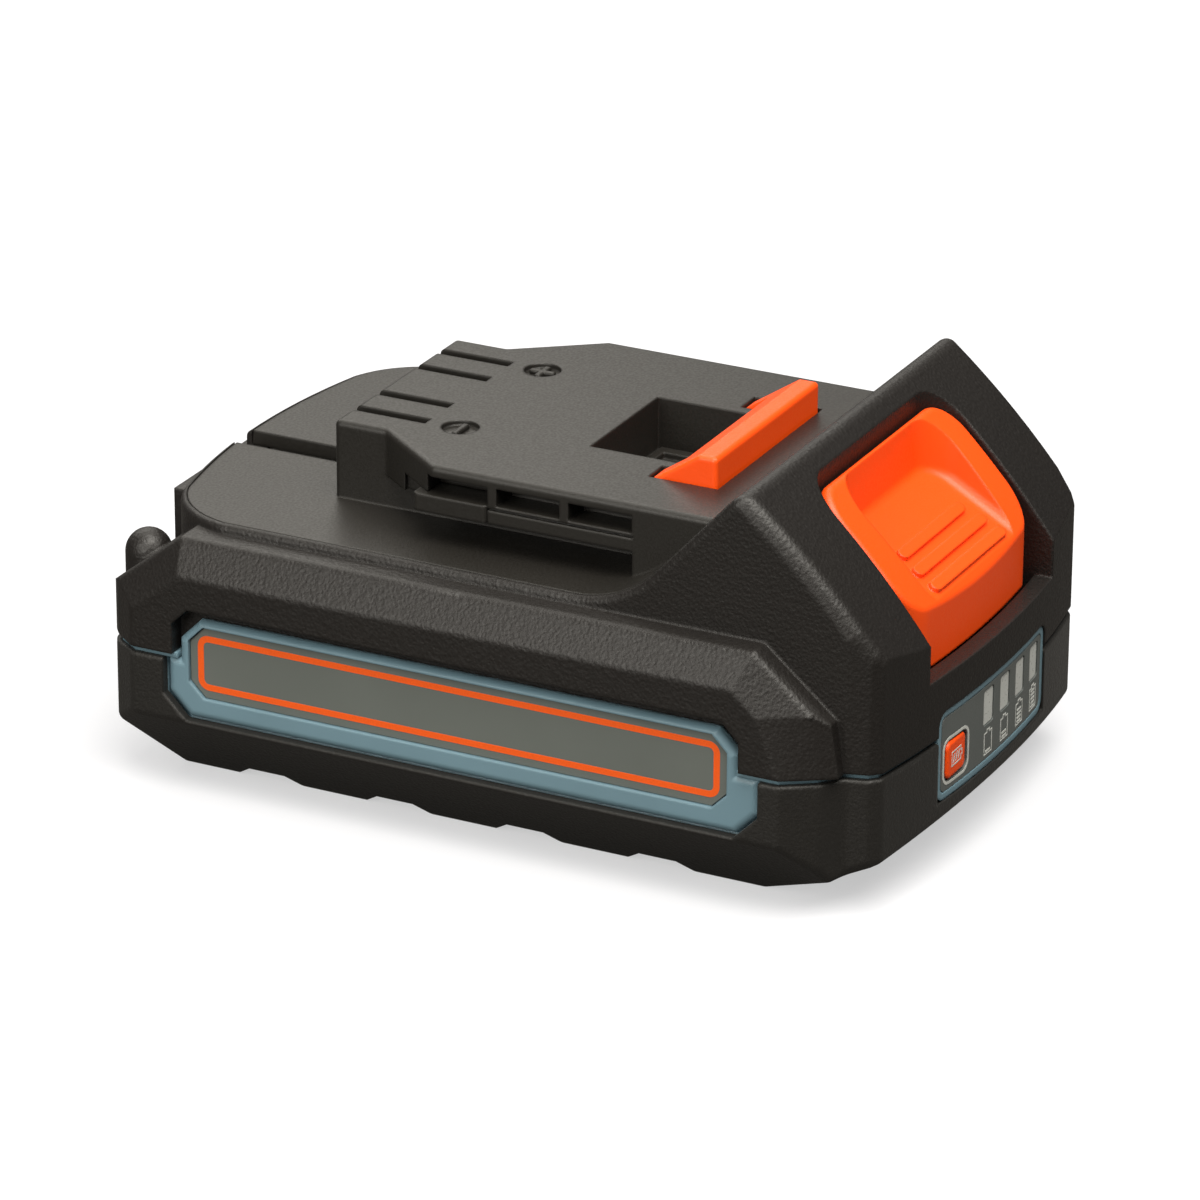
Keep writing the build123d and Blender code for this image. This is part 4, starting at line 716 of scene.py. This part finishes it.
membrane_film = moulded_plastic(
    "grey_membrane_film", "#5f6463", roughness=0.35, grain_mm=0.2, grain_depth_mm=0.004, edge_mm=0.1
)
window_resin = moulded_plastic(
    "milky_window_resin",
    "#c9ccc9",
    roughness=0.3,
    grain_mm=0.6,
    grain_depth_mm=0.004,
    edge_mm=0.15,
)
finish_node("gauge_overlay", membrane_film)
finish_node("light_guide", window_resin)
finish_node("gauge_lamps", window_resin)
finish_node("test_button", orange_acetal)

gauge_radius = 172.49
gauge_axis_y = gauge_radius + 1000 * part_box("gauge_overlay")[0][1]
ink_root = -0.03
ink_top = 0.035
ink_soft = 0.01
pale_ink = screen_ink("pale_screen_ink", "#d3d6d2", roughness=0.45)


def on_gauge(u, v, height):
    """Point over the bowed face of the gauge membrane, from millimetres across and up."""
    radius = gauge_radius + height
    return Vector((u, gauge_axis_y - math.sqrt(radius**2 - u**2), v)) / 1000


windows_low, windows_high = [corner * 1000 for corner in map(Vector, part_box("light_guide"))]
window_half = 1.6
bars_under_windows = (1, 2, 4, 5)
first_window_x = windows_low.x + window_half
last_window_x = windows_high.x - window_half
window_pitch = (last_window_x - first_window_x) / (len(bars_under_windows) - 1)
battery_gap = 1.15
battery_height = 3.2
battery_half = 1.25
battery_top = windows_low.z - battery_gap
battery_foot = battery_top - battery_height
cap_half = 0.5
cap_rise = 0.4
battery_line = 0.17
bar_width = 1.5
bar_height = 0.32
bar_corner = 0.1
first_bar_rise = 0.47
bar_pitch = 0.56
printed = []
bar_points = []
for number, bar_count in enumerate(bars_under_windows):
    window_x = first_window_x + window_pitch * number
    left, right = window_x - battery_half, window_x + battery_half
    cap_left, cap_right, cap_top = window_x - cap_half, window_x + cap_half, battery_top + cap_rise
    battery = [
        (left, battery_foot), (right, battery_foot), (right, battery_top),
        (cap_right, battery_top), (cap_right, cap_top), (cap_left, cap_top),
        (cap_left, battery_top), (left, battery_top),
    ]
    printed.append((battery, inset(battery, battery_line)))
    for i in range(bar_count):
        bar_points.append(on_gauge(window_x, battery_foot + first_bar_rise + bar_pitch * i, 0))
key_low, key_high = [corner * 1000 for corner in map(Vector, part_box("test_button"))]
key_middle = (key_low + key_high) / 2
key_ring = rounded_box((key_middle.x, key_middle.z), width=7.3, height=6.7, radius=1.7)
key_ring_line = 0.4
printed.append((key_ring, inset(key_ring, key_ring_line)))
raised_form(
    "gauge_print",
    printed,
    on_gauge,
    low=ink_root,
    high=ink_top,
    soft=ink_soft,
    material=pale_ink,
    body="pack",
)


def placed_copies(name, piece_mesh, points, bow_radius, material, body):
    """Copies of one form at given points, made by Geometry Nodes and turned with the bow."""
    source = bpy.data.objects.new(name + "_form", piece_mesh)
    tree = bpy.data.node_groups.new(name, "GeometryNodeTree")
    sockets = {
        label: tree.interface.new_socket(label, in_out="INPUT", socket_type=kind).identifier
        for label, kind in (
            ("Points", "NodeSocketGeometry"),
            ("Form", "NodeSocketObject"),
            ("Bow Radius", "NodeSocketFloat"),
            ("Finish", "NodeSocketMaterial"),
        )
    }
    tree.interface.new_socket("Copies", in_out="OUTPUT", socket_type="NodeSocketGeometry")
    given = add_node(tree, "NodeGroupInput")
    here = add_node(tree, "GeometryNodeInputPosition")
    across = add_node(tree, "ShaderNodeSeparateXYZ", inputs={0: here.outputs[0]})
    share = add_node(
        tree,
        "ShaderNodeMath",
        {"operation": "DIVIDE"},
        {0: across.outputs["X"], 1: given.outputs["Bow Radius"]},
    )
    angle = add_node(tree, "ShaderNodeMath", {"operation": "ARCSINE"}, {0: share.outputs[0]})
    turned = add_node(tree, "ShaderNodeCombineXYZ", inputs={"Z": angle.outputs[0]})
    shape = add_node(tree, "GeometryNodeObjectInfo", inputs={"Object": given.outputs["Form"]})
    copies = add_node(
        tree,
        "GeometryNodeInstanceOnPoints",
        inputs={
            "Points": given.outputs["Points"],
            "Instance": shape.outputs["Geometry"],
            "Rotation": turned.outputs[0],
        },
    )
    real = add_node(tree, "GeometryNodeRealizeInstances", inputs={0: copies.outputs[0]})
    finished = add_node(
        tree,
        "GeometryNodeSetMaterial",
        inputs={"Geometry": real.outputs[0], "Material": given.outputs["Finish"]},
    )
    add_node(tree, "NodeGroupOutput", inputs={0: finished.outputs[0]})
    point_mesh = bpy.data.meshes.new(name + "_points")
    point_mesh.from_pydata(points, [], [])
    piece = bpy.data.objects.new(name, point_mesh)
    scene.collection.objects.link(piece)
    copier = piece.modifiers.new("copies", "NODES")
    copier.node_group = tree
    copier[sockets["Form"]] = source
    copier[sockets["Bow Radius"]] = bow_radius
    copier[sockets["Finish"]] = material
    made = bpy.data.meshes.new_from_object(
        piece.evaluated_get(bpy.context.evaluated_depsgraph_get())
    )
    piece.modifiers.clear()
    piece.data = made
    bpy.data.objects.remove(source)
    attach(piece, body)
    return piece


bar_form = bmesh.new()
bar_rings = []
for height, drawn in ((ink_root, 0.0), (ink_top - ink_soft, 0.0), (ink_top, ink_soft)):
    outline = rounded_box(
        (0, 0), bar_width - 2 * drawn, bar_height - 2 * drawn, bar_corner - drawn, steps=3
    )
    bar_rings.append([bar_form.verts.new(Vector((u, -height, v)) / 1000) for u, v in outline])
join_rings(bar_form, bar_rings, capped=True)
placed_copies(
    "gauge_bars",
    mesh_of("bar", bar_form),
    bar_points,
    bow_radius=gauge_radius / 1000,
    material=pale_ink,
    body="pack",
)

# The key carries a battery lying on its side, with three slanted bars.
lying_shift = 0.15
lying_half_length = 1.5
lying_half_height = 1.05
lying_left = key_middle.x - lying_shift - lying_half_length
lying_right = key_middle.x - lying_shift + lying_half_length
lying_foot = key_middle.z - lying_half_height
lying_top = key_middle.z + lying_half_height
nub_length = 0.4
nub_half_height = 0.45
nub_end = lying_right + nub_length
nub_foot = key_middle.z - nub_half_height
nub_top = key_middle.z + nub_half_height
lying_line = 0.2
slant_first = 0.45
slant_width = 0.35
slant_pitch = 0.75
slant_half_height = 0.6
slant_foot = key_middle.z - slant_half_height
slant_top = key_middle.z + slant_half_height
slant_count = 3
lying_battery = [
    (lying_left, lying_foot), (lying_right, lying_foot), (lying_right, nub_foot),
    (nub_end, nub_foot), (nub_end, nub_top), (lying_right, nub_top),
    (lying_right, lying_top), (lying_left, lying_top),
]
key_outlines = [(lying_battery, inset(lying_battery, lying_line))]
for i in range(slant_count):
    left = lying_left + slant_first + slant_pitch * i
    slanted_bar = [
        (left, slant_foot), (left + slant_width, slant_foot),
        (left + 2 * slant_width, slant_top), (left + slant_width, slant_top),
    ]
    key_outlines.append((slanted_bar, None))


def on_key(u, v, height):
    """Point over the flat face of the test key, from millimetres across and up."""
    return Vector((u, key_low.y - height, v)) / 1000


raised_form(
    "key_print",
    key_outlines,
    on_key,
    low=ink_root,
    high=ink_top,
    soft=ink_soft,
    material=pale_ink,
    body="test_key",
)


# Side labels: grey polyester film, glued in the beaded seats of the tray, with a keyline of satin
# orange ink. The field inside the line is left plain.
label_film = moulded_plastic(
    "grey_label_film", "#656a66", roughness=0.42, grain_mm=0.3, grain_depth_mm=0.003, edge_mm=0.1
)
orange_ink = screen_ink("orange_screen_ink", "#ff6219", roughness=0.42)
keyline_margin = 1.1
keyline_corner = 1.6
keyline_width = 0.9
for side_name, side in (("left", -1), ("right", 1)):
    finish_node(f"side_label_{side_name}", label_film)
    low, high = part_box(f"side_label_{side_name}")
    face_x = 1000 * (low[0] if side < 0 else high[0])
    keyline = rounded_box(
        (500 * (low[1] + high[1]), 500 * (low[2] + high[2])),
        1000 * (high[1] - low[1]) - 2 * keyline_margin,
        1000 * (high[2] - low[2]) - 2 * keyline_margin,
        keyline_corner,
        steps=8,
    )
    raised_form(
        f"label_line_{side_name}",
        [(keyline, inset(keyline, keyline_width))],
        lambda u, v, height, face=face_x, out=side: Vector((face + out * height, u, v)) / 1000,
        low=-0.02,
        high=0.03,
        soft=ink_soft,
        material=orange_ink,
        body="pack",
    )


# Housing screws: thread-forming screws of zinc-plated steel with six-lobed sockets, driven from
# below through the bumper and the tray into the posts of the cover. Sizes are in millimetres, and
# heights go up from the face of the head.
socket_radius = 0.82
socket_wave = 0.09
socket_lobes = 6
socket_depth = 0.8
head_radius = 1.9
head_bevel = 0.15
head_height = 1.5
neck_radius = 1.05
neck_end = 2.4
core_radius = 0.95
crest_rise = 0.28
crest_half = 0.3
thread_pitch = 1.0
thread_start = 2.6
thread_step = 0.125
thread_steps = 100
fade_steps = 6
tip_height = 15.9
tip_share = 0.6
screw_sides = 36


def screw_ring(height, reaches):
    """Ring of points round the screw's axis, each at its own distance from it."""
    return [
        (reach * math.cos(turn), reach * math.sin(turn), height)
        for reach, turn in zip(reaches, screw_turns)
    ]


def thread_reach(turn, height, fade):
    """Core of the screw, with the crest of its thread where that passes a height."""
    phase = (height / thread_pitch - turn / (2 * math.pi)) % 1.0
    crest = max(0.0, 1 - abs(phase - 0.5) / crest_half)
    return core_radius + crest_rise * crest * fade


screw_turns = [2 * math.pi * i / screw_sides for i in range(screw_sides)]
socket_wall = [socket_radius + socket_wave * math.cos(socket_lobes * t) for t in screw_turns]
screw_rings = [screw_ring(socket_depth, socket_wall), screw_ring(0.0, socket_wall)]
for height, radius in (
    (0.0, head_radius - head_bevel),
    (head_bevel, head_radius),
    (head_height, head_radius),
    (head_height, neck_radius),
    (neck_end, neck_radius),
):
    screw_rings.append(screw_ring(height, [radius] * screw_sides))
for step in range(thread_steps + 1):
    height = thread_start + thread_step * step
    fade = min(1.0, step / fade_steps, (thread_steps - step) / fade_steps)
    screw_rings.append(screw_ring(height, [thread_reach(t, height, fade) for t in screw_turns]))
screw_rings.append([(x * tip_share, y * tip_share, tip_height) for x, y, _ in screw_rings[-1]])
screw_form = bmesh.new()
screw_corners = [
    [screw_form.verts.new(Vector(point) / 1000) for point in ring] for ring in screw_rings
]
join_rings(screw_form, screw_corners, capped=True)

heads_low, heads_high = [corner * 1000 for corner in map(Vector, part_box("housing_screws"))]
front_screw_back = 8.6
nose_screw_back = 5.5
screw_x = heads_high.x - head_radius
screw_places = [
    Vector((x, y, heads_low.z)) / 1000
    for x in (-screw_x, screw_x)
    for y in (front_screw_back - pack_end, pack_end - nose_screw_back)
]
no_bow = 1000.0  # a radius so wide that the screws aren't turned
screws = placed_copies(
    "lobed_housing_screws",
    mesh_of("screw", screw_form),
    screw_places,
    bow_radius=no_bow,
    material=screw_steel,
    body="pack",
)
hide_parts("housing_screws")
